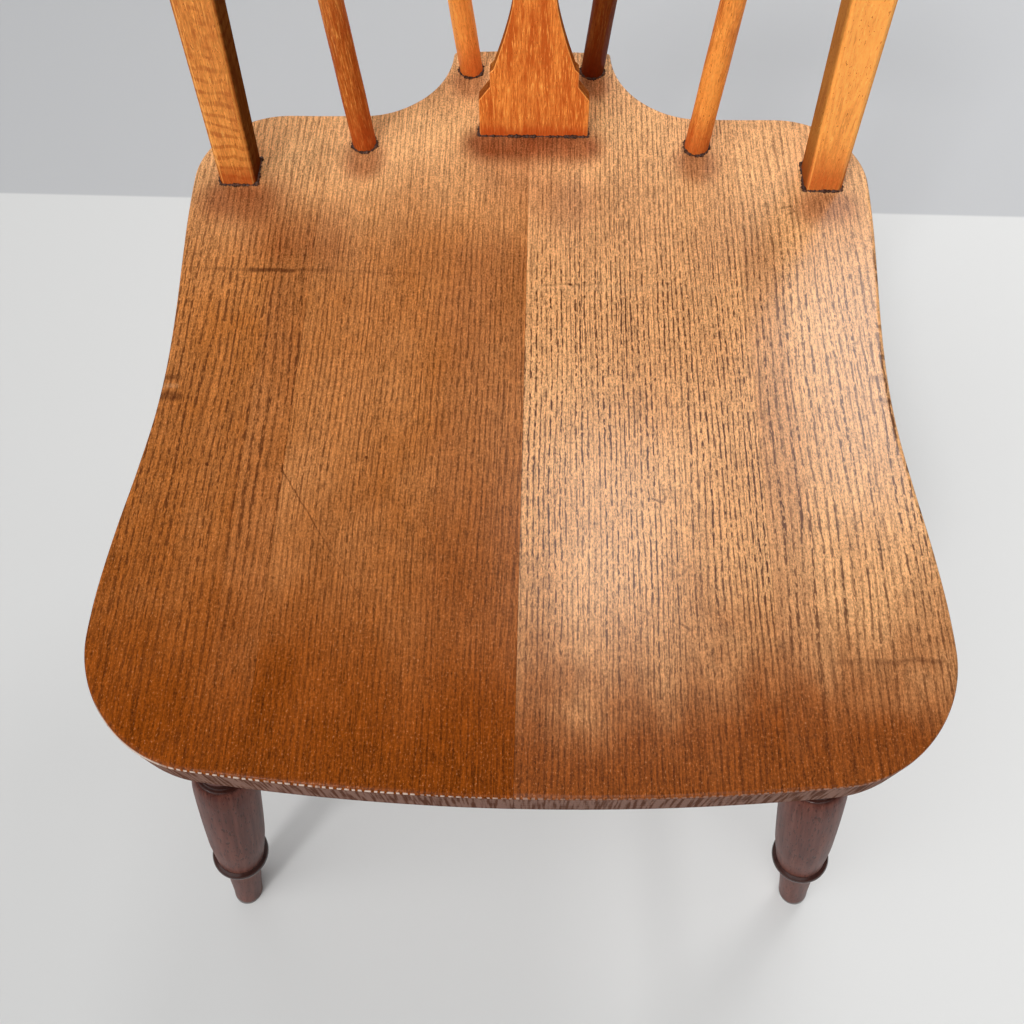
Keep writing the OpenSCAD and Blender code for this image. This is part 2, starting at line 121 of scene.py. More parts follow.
# Legs, by their middle at the seat's underside and how far each foot stands outside it. The left
# front foot stands further forward than the right one.
LEG_FRONT_X, LEG_FRONT_Y, FRONT_SPLAY, FRONT_FOOT_Y, FOOT_SKEW = SIDE_X - 55.0, 53.0, 72.0, 5.5, 5.5
LEG_REAR_X, LEG_REAR_Y, REAR_SPLAY, REAR_FOOT_Y = SIDE_X - 64.5, SEAT_BACK - 86.0, 50.0, SEAT_BACK - 2.0
STRETCHER_Z, STRETCHER_R, STRETCHER_MID_R = 208.0, 7.5, 12.5
LEGS = {}
for word, side in SIDES.items():
    LEGS[f"leg_front_{word}"] = (
        np.array([side * (LEG_FRONT_X + FRONT_SPLAY), FRONT_FOOT_Y + FOOT_SKEW * side, 0.0]),
        np.array([side * LEG_FRONT_X, LEG_FRONT_Y, SEAT_UNDER]))
    LEGS[f"leg_rear_{word}"] = (np.array([side * (LEG_REAR_X + REAR_SPLAY), REAR_FOOT_Y, 0.0]),
                                np.array([side * LEG_REAR_X, LEG_REAR_Y, SEAT_UNDER]))


def at_height(leg, z):
    """Middle of a leg at the height z."""
    foot, top = LEGS[leg]
    return foot + (top - foot) * (z - foot[2]) / (top[2] - foot[2])


# ---- sizes and colours a user would change ----

def length(name, description, default):
    """A length the user can change; its default is in millimetres."""
    return FloatProperty(name=name, description=description, default=default * MM,
                         min=0.0, unit="LENGTH", subtype="DISTANCE")


def colour(name, description, default):
    """A colour the user can change."""
    return FloatVectorProperty(name=name, description=description, default=default,
                               size=3, min=0.0, max=1.0, subtype="COLOR")


class ChairShape(bpy.types.PropertyGroup):
    """Rounded edges and small shapes of the chair's pieces."""
    top_arris: length("Top arris", "Radius worn on the seat's top edge", 1.9)
    under_arris: length("Under arris", "Radius on the seat's lower edge", 3.0)
    chamfer: length("Stile chamfer", "Width taken off each corner of a stile", 2.5)
    soft_edge: length("Soft edge", "Rounding left by sanding on the back's sharp corners", 0.8)
    rail_edge: length("Rail edge", "Rounding of the crest rail's long edges", 3.2)
    glue_bead: length("Glue bead", "Mean radius of the squeezed-out glue at each foot", 1.25)
    facets: IntProperty(name="Facets", description="Faces round each turning", default=56, min=12)


class ChairFinish(bpy.types.PropertyGroup):
    """Colours of the wood and its varnish."""
    # The honey tan is the right-hand boards' lighter wood with painted sheen laid into it.
    honey: colour("Honey", "Light tan of the right-hand boards", (0.73, 0.380, 0.160))
    russet: colour("Russet", "Red-brown of the left-hand boards", (0.430, 0.137, 0.023))
    plum: colour("Plum brown", "Darker heart streaks in the boards", (0.29, 0.095, 0.030))
    burnt: colour("Burnt orange", "Varnish that lies thick at the front", (0.220, 0.046, 0.0018))
    pore: colour("Pore", "Stain that fills the open pores", (0.075, 0.016, 0.004))
    amber: colour("Amber", "Light stripes of the back's wood", (0.84, 0.31, 0.060))
    chestnut: colour("Chestnut", "Dark stripes of the back's wood", (0.44, 0.092, 0.014))
    leg: colour("Leg stain", "Dark stain of the legs", (0.080, 0.021, 0.014))
    leg_light: colour("Leg streak", "Streaks rubbed lighter on the legs", (0.17, 0.058, 0.040))
    glue: colour("Old glue", "Dirt and glue round the feet", (0.045, 0.018, 0.010))


class ChairStage(bpy.types.PropertyGroup):
    """Floor, lamps and camera."""
    floor: colour("Floor", "Pale floor", (0.78, 0.78, 0.77))
    beyond: colour("Beyond", "Greyer ground beyond the floor's far line", (0.58, 0.585, 0.595))
    sky: FloatProperty(name="Sky", description="Level of the light from all round", default=1.0, min=0.0)
    sun: FloatProperty(name="Key lamp", description="Strength of the high front lamp",
                       default=2.25, min=0.0)


# ---- surfaces ----

def to_frame(points):
    """Millimetres of the drawing to metres of the frame."""
    return (points + np.array([0.0, FRONT_EDGE, 0.0])) * MM


def turned_in(points, quads):
    """Whether a skin is inside out: the sum of a . (b x c + c x d) over its faces a b c d is six
    times the space that they enclose, and comes out below nought."""
    a, b, c, d = (points[quads[:, k]] for k in range(4))
    return np.einsum("ij,ij->", a, np.cross(b, c) + np.cross(c, d)) < 0


def skin(name, rings, grain, looped=False, smooth=38.0, middle=None):
    """A closed skin: point (i, j) is point j of ring i. A face joins rings i and i + 1 between
    points j and j + 1, and every ring closes on itself. The first and last rings are joined to each
    other when looped, or closed by a fan of triangles each, whose shared point is the ring's mean, or
    stands over middle (x, y) where that is given. grain holds, for each point, its place across,
    through and along the wood, in millimetres."""
    n, m = rings.shape[:2]
    i, j = np.meshgrid(np.arange(n if looped else n - 1), np.arange(m), indexing="ij")
    near, far, next_j = i * m, (i + 1) % n * m, (j + 1) % m
    quads = np.stack([near + j, near + next_j, far + next_j, far + j], -1).reshape(-1, 4)
    ends = [0, n - 1]
    hubs, hub_woods = rings[ends].mean(1), grain[ends].mean(1)
    if middle is not None:
        hubs[:, :2] = middle
        hub_woods[:, [0, 2]] = middle
    points = np.concatenate([rings.reshape(-1, 3), hubs])
    woods = np.concatenate([grain.reshape(-1, 3), hub_woods])
    around, last = np.arange(m), (n - 1) * m
    after = (around + 1) % m
    fans = np.concatenate([np.stack([after, around, np.full(m, n * m)], -1),
                           np.stack([around + last, after + last, np.full(m, n * m + 1)], -1)])
    if looped:
        points, woods, fans = points[:-2], woods[:-2], fans[:0]
    if turned_in(points - points.mean(0), quads):
        quads, fans = quads[:, ::-1], fans[:, ::-1]
    mesh = bpy.data.meshes.new(name)
    mesh.from_pydata(to_frame(points).tolist(), [], quads.tolist() + fans.tolist())
    place = mesh.attributes.new("grain", "FLOAT_VECTOR", "POINT")
    place.data.foreach_set("vector", (woods * MM).astype(np.float32).ravel())
    mesh.shade_smooth()
    mesh.set_sharp_from_angle(angle=math.radians(smooth))
    mesh.validate()
    piece = bpy.data.objects.new(name, mesh)
    bpy.context.scene.collection.objects.link(piece)
    return piece


def finish_piece(piece, material, slot, *nodes):
    """Gives a new piece its varnish and its body, and lets it stand for its frame nodes. The slot is not
    used.
    """
    piece.data.materials.append(material)
    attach(piece, "root")
    if nodes:
        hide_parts(*nodes)
    return piece


def axes(foot, top):
    """Axis of a straight member, and its two cross directions: one along X as near as it can be,
    one at right angles to both."""
    axis = (top - foot) / np.linalg.norm(top - foot)
    across = np.array([1.0, 0, 0]) - axis[0] * axis
    across /= np.linalg.norm(across)
    return axis, across, np.cross(axis, across)


def cut(rings, axis, normal, level, keep_under=True):
    """Slides the points that lie past a plane back onto it, along the member's axis."""
    past = rings @ normal - level
    past = np.maximum(past, 0) if keep_under else np.minimum(past, 0)
    return rings - axis * (past / (axis @ normal))[..., None]


def carried(foot, top, along, section):
    """A section carried along a straight member: foot + s * axis + u * across + v * through,
    for each distance s in along and each section point (u, v)."""
    axis, across, through = axes(foot, top)
    rings = foot + along[:, None, None] * axis + section[..., :1] * across + section[..., 1:] * through
    grain = np.concatenate([section, np.broadcast_to(along[:, None, None], section[..., :1].shape)], -1)
    return rings, grain


def corner_rows(*corners):
    """The corners (u, v) of a section, each given for every place along a piece, put in one array."""
    return np.stack([np.stack(corner, -1) for corner in corners], -2)


def soft_corners(corners, soft):
    """Rounds every corner V of a closed outline. Each becomes the curve (1-t)^2 P + 2t(1-t) V + t^2 Q
    between the points P and Q that lie soft away along its two sides, with one more point past
    each end, which keeps the flats flat."""
    before = np.roll(corners, 1, -2) - corners
    after = np.roll(corners, -1, -2) - corners
    before, after = (d / np.linalg.norm(d, axis=-1, keepdims=True) for d in (before, after))
    soft = np.asarray(soft)[..., None, None] if np.ndim(soft) else soft
    t = np.linspace(0, 1, 5)
    curve = [corners + (1 - u) ** 2 * soft * before + u * u * soft * after for u in t]
    curve = [corners + 1.5 * soft * before] + curve + [corners + 1.5 * soft * after]
    return np.stack(curve, -2).reshape(*corners.shape[:-2], -1, 2)


def through_points(s, knots):
    """A smooth curve through (place, radius) knots that never swings past them: a cubic between
    each two knots, whose slope at a knot is the harmonic mean of the slopes beside it."""
    x, y = np.array(knots, float).T
    slope = np.diff(y) / np.diff(x)
    flat = slope[1:] * slope[:-1] <= 0
    inner = np.where(flat, 0, 2 * slope[1:] * slope[:-1] / np.where(flat, 1, slope[1:] + slope[:-1]))
    m = np.concatenate([slope[:1], inner, slope[-1:]])
    k = np.clip(np.searchsorted(x, s, "right") - 1, 0, len(x) - 2)
    step = x[k + 1] - x[k]
    t = (s - x[k]) / step
    return ((2 * t ** 3 - 3 * t * t + 1) * y[k] + (t ** 3 - 2 * t * t + t) * step * m[k]
            + (3 * t * t - 2 * t ** 3) * y[k + 1] + (t ** 3 - t * t) * step * m[k + 1])


def between(knots, count):
    """count even steps between each two knots, and the last knot."""
    x = np.array(knots, float)
    t = np.arange(count) / count
    return np.append((x[:-1, None] + np.diff(x)[:, None] * t).ravel(), x[-1])


def turned(foot, top, along, radius, facets):
    """A turning: the radius r(s) spun once round the axis, so the section at s is
    r(s) * (cos a, sin a) for a from 0 to a full turn."""
    a = np.linspace(0, 2 * np.pi, facets, endpoint=False)
    section = radius[:, None, None] * np.stack([np.cos(a), np.sin(a)], -1)
    return carried(foot, top, along, section)


def ease(u):
    """A rise from 0 to 1 along half a cosine wave, level at both ends."""
    return (1 - np.cos(np.pi * u)) / 2


def averaged(row, width, flip):
    """Each point's mean with width points on either side; past its ends the row is mirrored."""
    wide = np.concatenate([row[width:0:-1] * flip, row, row[-2:-2 - width:-1] * flip])
    return np.mean([wide[k:len(row) + k] for k in range(2 * width + 1)], 0)


def seat_edge(spacing=1.2):
    """Right half of the seat's outline, from the middle of the front round to the middle of the
    tail, and its inward normals. The front is a shallow parabola that runs on into an elliptical
    corner; the side draws in to a waist and out again on cosine curves; the back corner is a
    quarter circle and the cove beside the tail a quarter ellipse. It is evened out to one spacing
    and averaged over a few points, which breaks the corners of the tail."""
    flat_x = SIDE_X - CORNER_X
    q = np.linspace(0, 1, 61)
    quarter = q * np.pi / 2
    corner_x = flat_x + CORNER_X * np.sin(quarter)
    side_y = FRONT_BOW * (SIDE_X / flat_x) ** 2 + CORNER_Y
    waist_y, back_y = WAIST_Y * SEAT_BACK, SEAT_BACK - BACK_CORNER
    back_x = SIDE_X - BACK_IN - BACK_CORNER
    reach = TAIL_END - TAIL_BOW - SEAT_BACK
    cove = reach - COVE_IN
    parts = [(q * flat_x, FRONT_BOW * q * q),
             (corner_x, FRONT_BOW * (corner_x / flat_x) ** 2 + CORNER_Y * (1 - np.cos(quarter))),
             (SIDE_X - WAIST_IN * ease(q), side_y + (waist_y - side_y) * q),
             (SIDE_X - WAIST_IN + (WAIST_IN - BACK_IN) * ease(q), waist_y + (back_y - waist_y) * q),
             (back_x + BACK_CORNER * np.cos(quarter), back_y + BACK_CORNER * np.sin(quarter)),
             (TAIL_X + cove * (1 - np.sin(quarter)), TAIL_END - TAIL_BOW - reach * np.cos(quarter)),
             (TAIL_X * (1 - q), TAIL_END - TAIL_BOW * (1 - q) ** 2)]
    line = np.concatenate([np.stack(p, -1)[1:] for p in parts])
    line = np.concatenate([[[0.0, 0.0]], line])
    walked = np.append(0, np.cumsum(np.linalg.norm(np.diff(line, axis=0), axis=1)))
    s = np.linspace(0, walked[-1], int(walked[-1] / spacing))
    even = np.stack([np.interp(s, walked, line[:, k]) for k in (0, 1)], -1)
    even = averaged(even, 2, np.array([-1, 1]))
    way = np.gradient(even, axis=0)
    way[0], way[-1] = (1, 0), (-1, 0)
    way /= np.linalg.norm(way, axis=1, keepdims=True)
    # Averaged over nine places, so that rings drawn in from a sharp corner never cross themselves.
    way = averaged(way, 4, np.array([1, -1]))
    way /= np.linalg.norm(way, axis=1, keepdims=True)
    return even, np.stack([-way[:, 1], way[:, 0]], -1)


# Slow waves in the rounding of the seat's edge: size, rate and shift.
ARRIS_WAVES = [(0.22, 0.021, 1), (0.16, 0.057, 2), (0.10, 0.19, 0)]
# Where the top and underside of an inner board are fanned from.
INNER_HUB = 40.0, 300.0


def seat_board(name, near, far, side, shape):
    """One board of the seat: its share of the outline, closed by straight joints, as a ring that
    rises round the edge. Where a round of radius r has turned by an angle a, the ring has moved
    in by r (1 - sin a) and its height has changed by r (1 - cos a); the joints stay upright."""
    edge, inward = seat_edge()
    k = np.arange(len(edge))
    clear = 0.3
    chosen = (edge[:, 0] > near + clear) & (edge[:, 0] < far - clear)
    halves = [k[chosen & (k < len(k) // 2)], k[chosen & (k >= len(k) // 2)]]
    runs = [np.concatenate(halves)] if far > SIDE_X else halves
    top_r, under_r = shape.top_arris / MM, shape.under_arris / MM
    turn = np.linspace(0, np.pi / 2, 6)
    thick = SEAT_TOP - SEAT_UNDER
    insets = np.concatenate([[under_r + 1.2], under_r * (1 - np.sin(turn)), [0.0, 0.0],
                             top_r * (1 - np.cos(turn)), [top_r + 0.8, top_r + 2.5]])
    heights = np.concatenate([[0], under_r * (1 - np.cos(turn)), [thick * 0.35, thick * 0.65],
                              thick - top_r * (1 - np.sin(turn)), [thick, thick]])
    pieces = []
    ends = [(near, far), (far, near)] if len(runs) == 2 else [(near, near)]
    # The hand-worked round swells and shrinks a little as it goes along the edge.
    wear = 1 + sum(size * np.sin(k * rate + shift * side) for size, rate, shift in ARRIS_WAVES)
    for run, (first, last) in zip(runs, ends):
        moved = edge[run] + insets[:, None, None] * (inward[run] * wear[run][:, None])
        start, stop = moved[:, :1].copy(), moved[:, -1:].copy()
        start[..., 0], stop[..., 0] = first, last
        pieces.append(np.concatenate([start, moved, stop], 1))
    t = np.linspace(0, 1, 42)[1:-1, None]
    ring = []
    for this, following in zip(pieces, pieces[1:] + pieces[:1]):
        ring += [this, this[:, -1:] * (1 - t) + following[:, :1] * t]
    ring = np.concatenate(ring, 1)
    rings = np.concatenate([ring, np.broadcast_to(SEAT_UNDER + heights[:, None, None],
                                                  ring[..., :1].shape)], -1)
    rings[..., 0] *= side
    grain = rings[..., [0, 2, 1]] - np.array([0, SEAT_TOP, 0])
    hub_x, hub_y = INNER_HUB
    return skin(name, rings, grain, middle=None if far > SIDE_X else (side * hub_x, hub_y))


def stile(name, node, shape):
    """A bar with chamfered corners, which widens over its lowest stretch, carried from the seat
    to the underside of the crest rail and cut level with both."""
    foot, top = UPRIGHTS[node]
    full = np.linalg.norm(top - foot)
    along = np.concatenate([[-9.0, -2.0], np.linspace(1, STILE_FLARE, 8),
                            np.linspace(STILE_FLARE + 20, full + 9, 14)])
    half_w = np.interp(along, [0, STILE_FLARE], [STILE_WIDE, STILE_TOP_WIDE]) / 2
    half_d, c = np.full_like(half_w, STILE_DEEP / 2), shape.chamfer / MM
    corners = corner_rows(*((u * (half_w - c * p), v * (half_d - c * (1 - p)))
                            for u, v, p in ((1, 1, 0), (1, 1, 1), (-1, 1, 1), (-1, 1, 0),
                                            (-1, -1, 0), (-1, -1, 1), (1, -1, 1), (1, -1, 0))))
    rings, grain = carried(foot, top, along, soft_corners(corners, 0.7 * shape.soft_edge / MM))
    axis = axes(foot, top)[0]
    rings = cut(rings, axis, np.array([0, 0, 1.0]), SEAT_TOP - 1.5, keep_under=False)
    return skin(name, cut(rings, axis, RAIL_NORMAL, RAIL_FOOT - 0.05), grain, smooth=30.0)


def stick(name, node, shape):
    """A turned stick: straight at the seat, then an even taper to its head in the rail. A slow
    wave of a tenth of a millimetre keeps it from looking machined."""
    foot, top = UPRIGHTS[node]
    full = np.linalg.norm(top - foot)
    along = np.concatenate([np.linspace(-6, STICK_PLAIN, 8),
                            np.linspace(STICK_PLAIN + 6, full - STICK_PLAIN, 40),
                            np.linspace(full - STICK_PLAIN + 6, full + 6, 6)])
    radius = np.interp(along, [STICK_PLAIN, full - STICK_PLAIN], [STICK_R, STICK_TOP_R])
    radius += 0.09 * np.sin(along / 9 + foot[0]) * np.sin(along / 23)
    rings, grain = turned(foot, top, along, radius, shape.facets)
    return skin(name, rings, grain)


# Heights at which the splat's chamfer starts and ends, and its notch starts and ends; then those
# where its sweep ends, its neck is narrowest and its blade is widest.
SPLAT_STEPS = [22.4, 31.2, 40.0, 42.0]
SPLAT_SWEEP, SPLAT_NARROW, SPLAT_WIDE = 84.0, 104.0, 224.0


def splat_half(s, full):
    """Half the splat's width at a distance s above the seat: straight foot, a chamfer to a small
    step and a notch, a hollow sweep to the neck, then cosine curves out to the blade and in to
    the head."""
    neck, foot, blade = SPLAT_NECK_HALF, SPLAT_FOOT_HALF, SPLAT_BLADE_HALF
    step_in, notch_in, sweep_end = 7.0, 9.2, neck + 1.2
    low = np.interp(s, SPLAT_STEPS, [foot, foot - step_in, foot - step_in, foot - notch_in])
    notch, sweep, narrow, wide = SPLAT_STEPS[-1], SPLAT_SWEEP, SPLAT_NARROW, SPLAT_WIDE
    hollow = sweep_end + (foot - notch_in - sweep_end) * (np.clip(sweep - s, 0, sweep - notch)
                                                          / (sweep - notch)) ** 1.35
    neck_in = neck + (sweep_end - neck) * (np.clip(narrow - s, 0, narrow - sweep) / (narrow - sweep)) ** 2
    out = neck + (blade - neck) * ease(np.clip((s - narrow) / (wide - narrow), 0, 1))
    back_in = blade - 0.1 * blade * ease(np.clip((s - wide) / (full - wide), 0, 1))
    return np.select([s < notch, s < sweep, s < narrow, s < wide], [low, hollow, neck_in, out], back_in)


def splat(shape):
    """The fiddle-shaped splat: a rounded rectangle of changing width and one thickness, carried
    from the seat to the rail, with a section close to either side of each step."""
    full = np.linalg.norm(SPLAT_HEAD - SPLAT_FOOT)
    beside = (np.array(SPLAT_STEPS)[:, None] + [-0.1, 0.1]).ravel()
    along = np.sort(np.concatenate([
        [-5, -1], np.linspace(0.5, 22, 8), np.linspace(23, 30.8, 8), np.linspace(32, 39.6, 4), [41], beside,
        np.linspace(43, SPLAT_NARROW, 32), np.linspace(SPLAT_NARROW + 4, full + 6, 70)]))
    w, d = splat_half(along, full), np.full_like(along, SPLAT_THICK / 2)
    corners = corner_rows((w, d), (-w, d), (-w, -d), (w, -d))
    section = soft_corners(corners, 1.25 * shape.soft_edge / MM)
    rings, grain = carried(SPLAT_FOOT, SPLAT_HEAD, along, section)
    rings = cut(rings, axes(SPLAT_FOOT, SPLAT_HEAD)[0], RAIL_NORMAL, RAIL_FOOT - 0.05)
    return skin("splat_board", rings, grain, smooth=30.0)


def rail_top(x):
    """Height of the crest rail at x: a long arch, which ends in a quarter circle at each end."""
    arch_r = (RAIL_END ** 2 + (RAIL_HIGH - RAIL_END_HIGH) ** 2) / (2 * (RAIL_HIGH - RAIL_END_HIGH))
    arch = RAIL_HIGH - arch_r + np.sqrt(arch_r ** 2 - x * x)
    past = np.clip(np.abs(x) - (RAIL_END - RAIL_END_R), 0, RAIL_END_R)
    end = np.where(past > 0, RAIL_END_HIGH - RAIL_END_R + np.sqrt(RAIL_END_R ** 2 - past ** 2), arch)
    return np.minimum(arch, end)


def crest_rail(shape):
    """The curved crest rail. At each x its section is a rounded rectangle between the inner and
    outer circles of the bend, from the flat underside to the arched top; over the last millimetres
    each end's section shrinks as a quarter round."""
    round_r = 2.4
    turn = np.linspace(0, np.pi / 2, 6)
    closer = np.sin(np.linspace(0, np.pi / 2, 14))[:-1]
    half = np.concatenate([np.linspace(0, RAIL_END - RAIL_END_R - 2, 40),
                           RAIL_END - RAIL_END_R + (RAIL_END_R - round_r) * closer,
                           RAIL_END - round_r + round_r * np.sin(turn)])
    shrink = np.concatenate([np.zeros(len(half) - len(turn)), round_r * (1 - np.cos(turn))])
    x = np.concatenate([-half[:0:-1], half])
    d = np.concatenate([shrink[:0:-1], shrink])
    reach = np.minimum(np.abs(x), RAIL_END - 0.5)
    low, high = d, rail_top(reach) - d
    near = RAIL_MID + np.sqrt((RAIL_R - RAIL_THICK / 2) ** 2 - x * x) + d
    away = RAIL_MID + np.sqrt((RAIL_R + RAIL_THICK / 2) ** 2 - x * x) - d
    corners = corner_rows((near, low), (away, low), (away, high), (near, high))
    soft = np.interp(np.abs(x), [RAIL_END - 12, RAIL_END], [1.0, 0.35]) * shape.rail_edge / MM
    section = soft_corners(corners, soft)
    rings = back_point(x[:, None], section[..., 0], section[..., 1] + BACK_LEN)
    # Counted from beyond the left end, so that no part of the rail is taken for a pooled foot.
    along = np.broadcast_to(x[:, None] + 2 * RAIL_END, section[..., 0].shape)
    grain = np.stack([section[..., 1], section[..., 0], along], -1)
    return skin("crest_rail_board", rings, grain)


# The legs' turning, as height above the foot and radius: foot, ring, swelling, shoulder, neck and
# upper part. Then where the stain on it is nearly black: from, to and softness.
LEG_KNOTS = [(-6, 11.2), (6, 11.2), (60, 12.25), (116, 13.4), (116.8, 18.0), (118.4, 19.6), (121, 20.2),
             (123.6, 19.6), (125.2, 18.0), (126, 17.2), (149, 18.3), (179, 19.4), (245, 19.8),
             (285, 19.6), (301, 18.8), (308, 17.8), (311, 16.4), (311.6, 14.0), (315, 13.2),
             (319, 13.8), (324, 16.0), (340, 17.0), (365, 16.2)]
LEG_DARK = [(114.5, 127.5, 1.0), (310.5, 316.5, 1.5)]


def leg(name, node, shape):
    """A turned leg: a foot, a taper, a ring, a long swelling, a shoulder and neck, and an upper
    part that narrows into the seat, smooth through its knots and cut level with the floor."""
    foot, top = LEGS[node]
    full = np.linalg.norm(top - foot)
    knots = LEG_KNOTS + [(full - 12, 12.0), (full + 6, 12.0)]
    along = between([k[0] for k in knots], 5)
    radius = through_points(along, knots)
    rings, grain = turned(foot, top, along, radius, shape.facets)
    axis = axes(foot, top)[0]
    return skin(name, cut(rings, axis, np.array([0, 0, 1.0]), 0.0, keep_under=False), grain, smooth=32.0)


def stretcher(name, start, end, shape, gap):
    """A turned stretcher: thin where it enters the legs, swelling on a smooth curve to its middle."""
    full = np.linalg.norm(end - start)
    thin, thick, swell, half = STRETCHER_R, STRETCHER_MID_R, STRETCHER_MID_R - 1.2, full / 2
    knots = [(gap, thin), (34, thin), (half - 50, swell), (half - 20, thick)]
    knots += [(full - s, r) for s, r in reversed(knots)]
    along = between([k[0] for k in knots], 8)
    rings, grain = turned(start, end, along, through_points(along, knots), shape.facets)
    return skin(name, rings, grain)


# Swellings of a glue bead: size, how many go round it, and shift.
GLUE_WAVES = [(0.30, 5, 1.0), (0.22, 13, 2.1), (0.20, 31, 3.7), (0.16, 67, 0.0)]


def glue_bead(name, loop, shape, seed):
    """Squeezed-out glue and dirt round a foot: a rough closed bead. Its section is a circle that
    swells and shrinks along the loop by a few sines of different lengths, half sunk in the seat."""
    walk = np.linspace(0, 2 * np.pi, len(loop), endpoint=False)
    swells = sum(size * np.sin(count * walk + shift * seed) for size, count, shift in GLUE_WAVES)
    radius = shape.glue_bead / MM * (1 + swells)
    way = np.roll(loop, -1, 0) - np.roll(loop, 1, 0)
    way /= np.linalg.norm(way, axis=1, keepdims=True)
    out = np.stack([way[:, 1], -way[:, 0]], -1)
    a = np.linspace(0, 2 * np.pi, 10, endpoint=False)
    rough = 1 + 0.12 * np.sin(3 * a + 41 * walk[:, None])
    reach = (radius[:, None] * rough * np.cos(a))[..., None] * out[:, None]
    rise = radius[:, None] * rough * np.sin(a) * 0.8 - 0.15
    rings = np.concatenate([loop[:, None] + reach, SEAT_TOP + rise[..., None]], -1)
    return skin(name, rings, rings[..., [0, 2, 1]], looped=True, smooth=80.0)


def round_loop(foot, top, radius, count=120):
    """Where a round member meets the seat: its circle, stretched by the member's slant."""
    axis = axes(foot, top)[0]
    a = np.linspace(0, 2 * np.pi, count, endpoint=False)
    circle = radius * np.stack([np.cos(a), np.sin(a)], -1)
    slant = axis[:2] / np.linalg.norm(axis[:2])
    return foot[:2] + circle + (circle @ slant)[:, None] * slant * (1 / axis[2] - 1)


def square_loop(foot, half_w, half_d, count=200):
    """Where a square member meets the seat: a rectangle, walked at an even pace."""
    corners = np.array([(1, 1), (-1, 1), (-1, -1), (1, -1), (1, 1)]) * [half_w, half_d]
    walked = np.append(0, np.cumsum(np.linalg.norm(np.diff(corners, axis=0), axis=1)))
    s = np.linspace(0, walked[-1], count, endpoint=False)
    return foot[:2] + np.stack([np.interp(s, walked, corners[:, k]) for k in (0, 1)], -1)


# ---- varnish and wood ----

class Value:
    """A socket in a material, so that sums on values read as sums and add their Math nodes."""

    def __init__(self, wood, socket):
        self.wood, self.socket = wood, socket

    def maths(self, operation, *others, clamp=False):
        return self.wood.node("ShaderNodeMath", {"operation": operation, "use_clamp": clamp},
                              {k: v for k, v in enumerate((self,) + others)})

    def most(self, other):
        """The larger of the two."""
        return self.maths("MAXIMUM", other)

    def held(self):
        """Kept between 0 and 1."""
        return self.maths("ADD", 0.0, clamp=True)

    def __add__(self, other):
        return self.maths("ADD", other)

    def __sub__(self, other):
        return self.maths("SUBTRACT", other)

    def __mul__(self, other):
        return self.maths("MULTIPLY", other)

    def __truediv__(self, other):
        return self.maths("DIVIDE", other)

    def __pow__(self, other):
        return self.maths("POWER", other)

    def __rsub__(self, other):
        return self.wood.node("ShaderNodeMath", {"operation": "SUBTRACT"}, {0: other, 1: self})

    __radd__, __rmul__ = __add__, __mul__


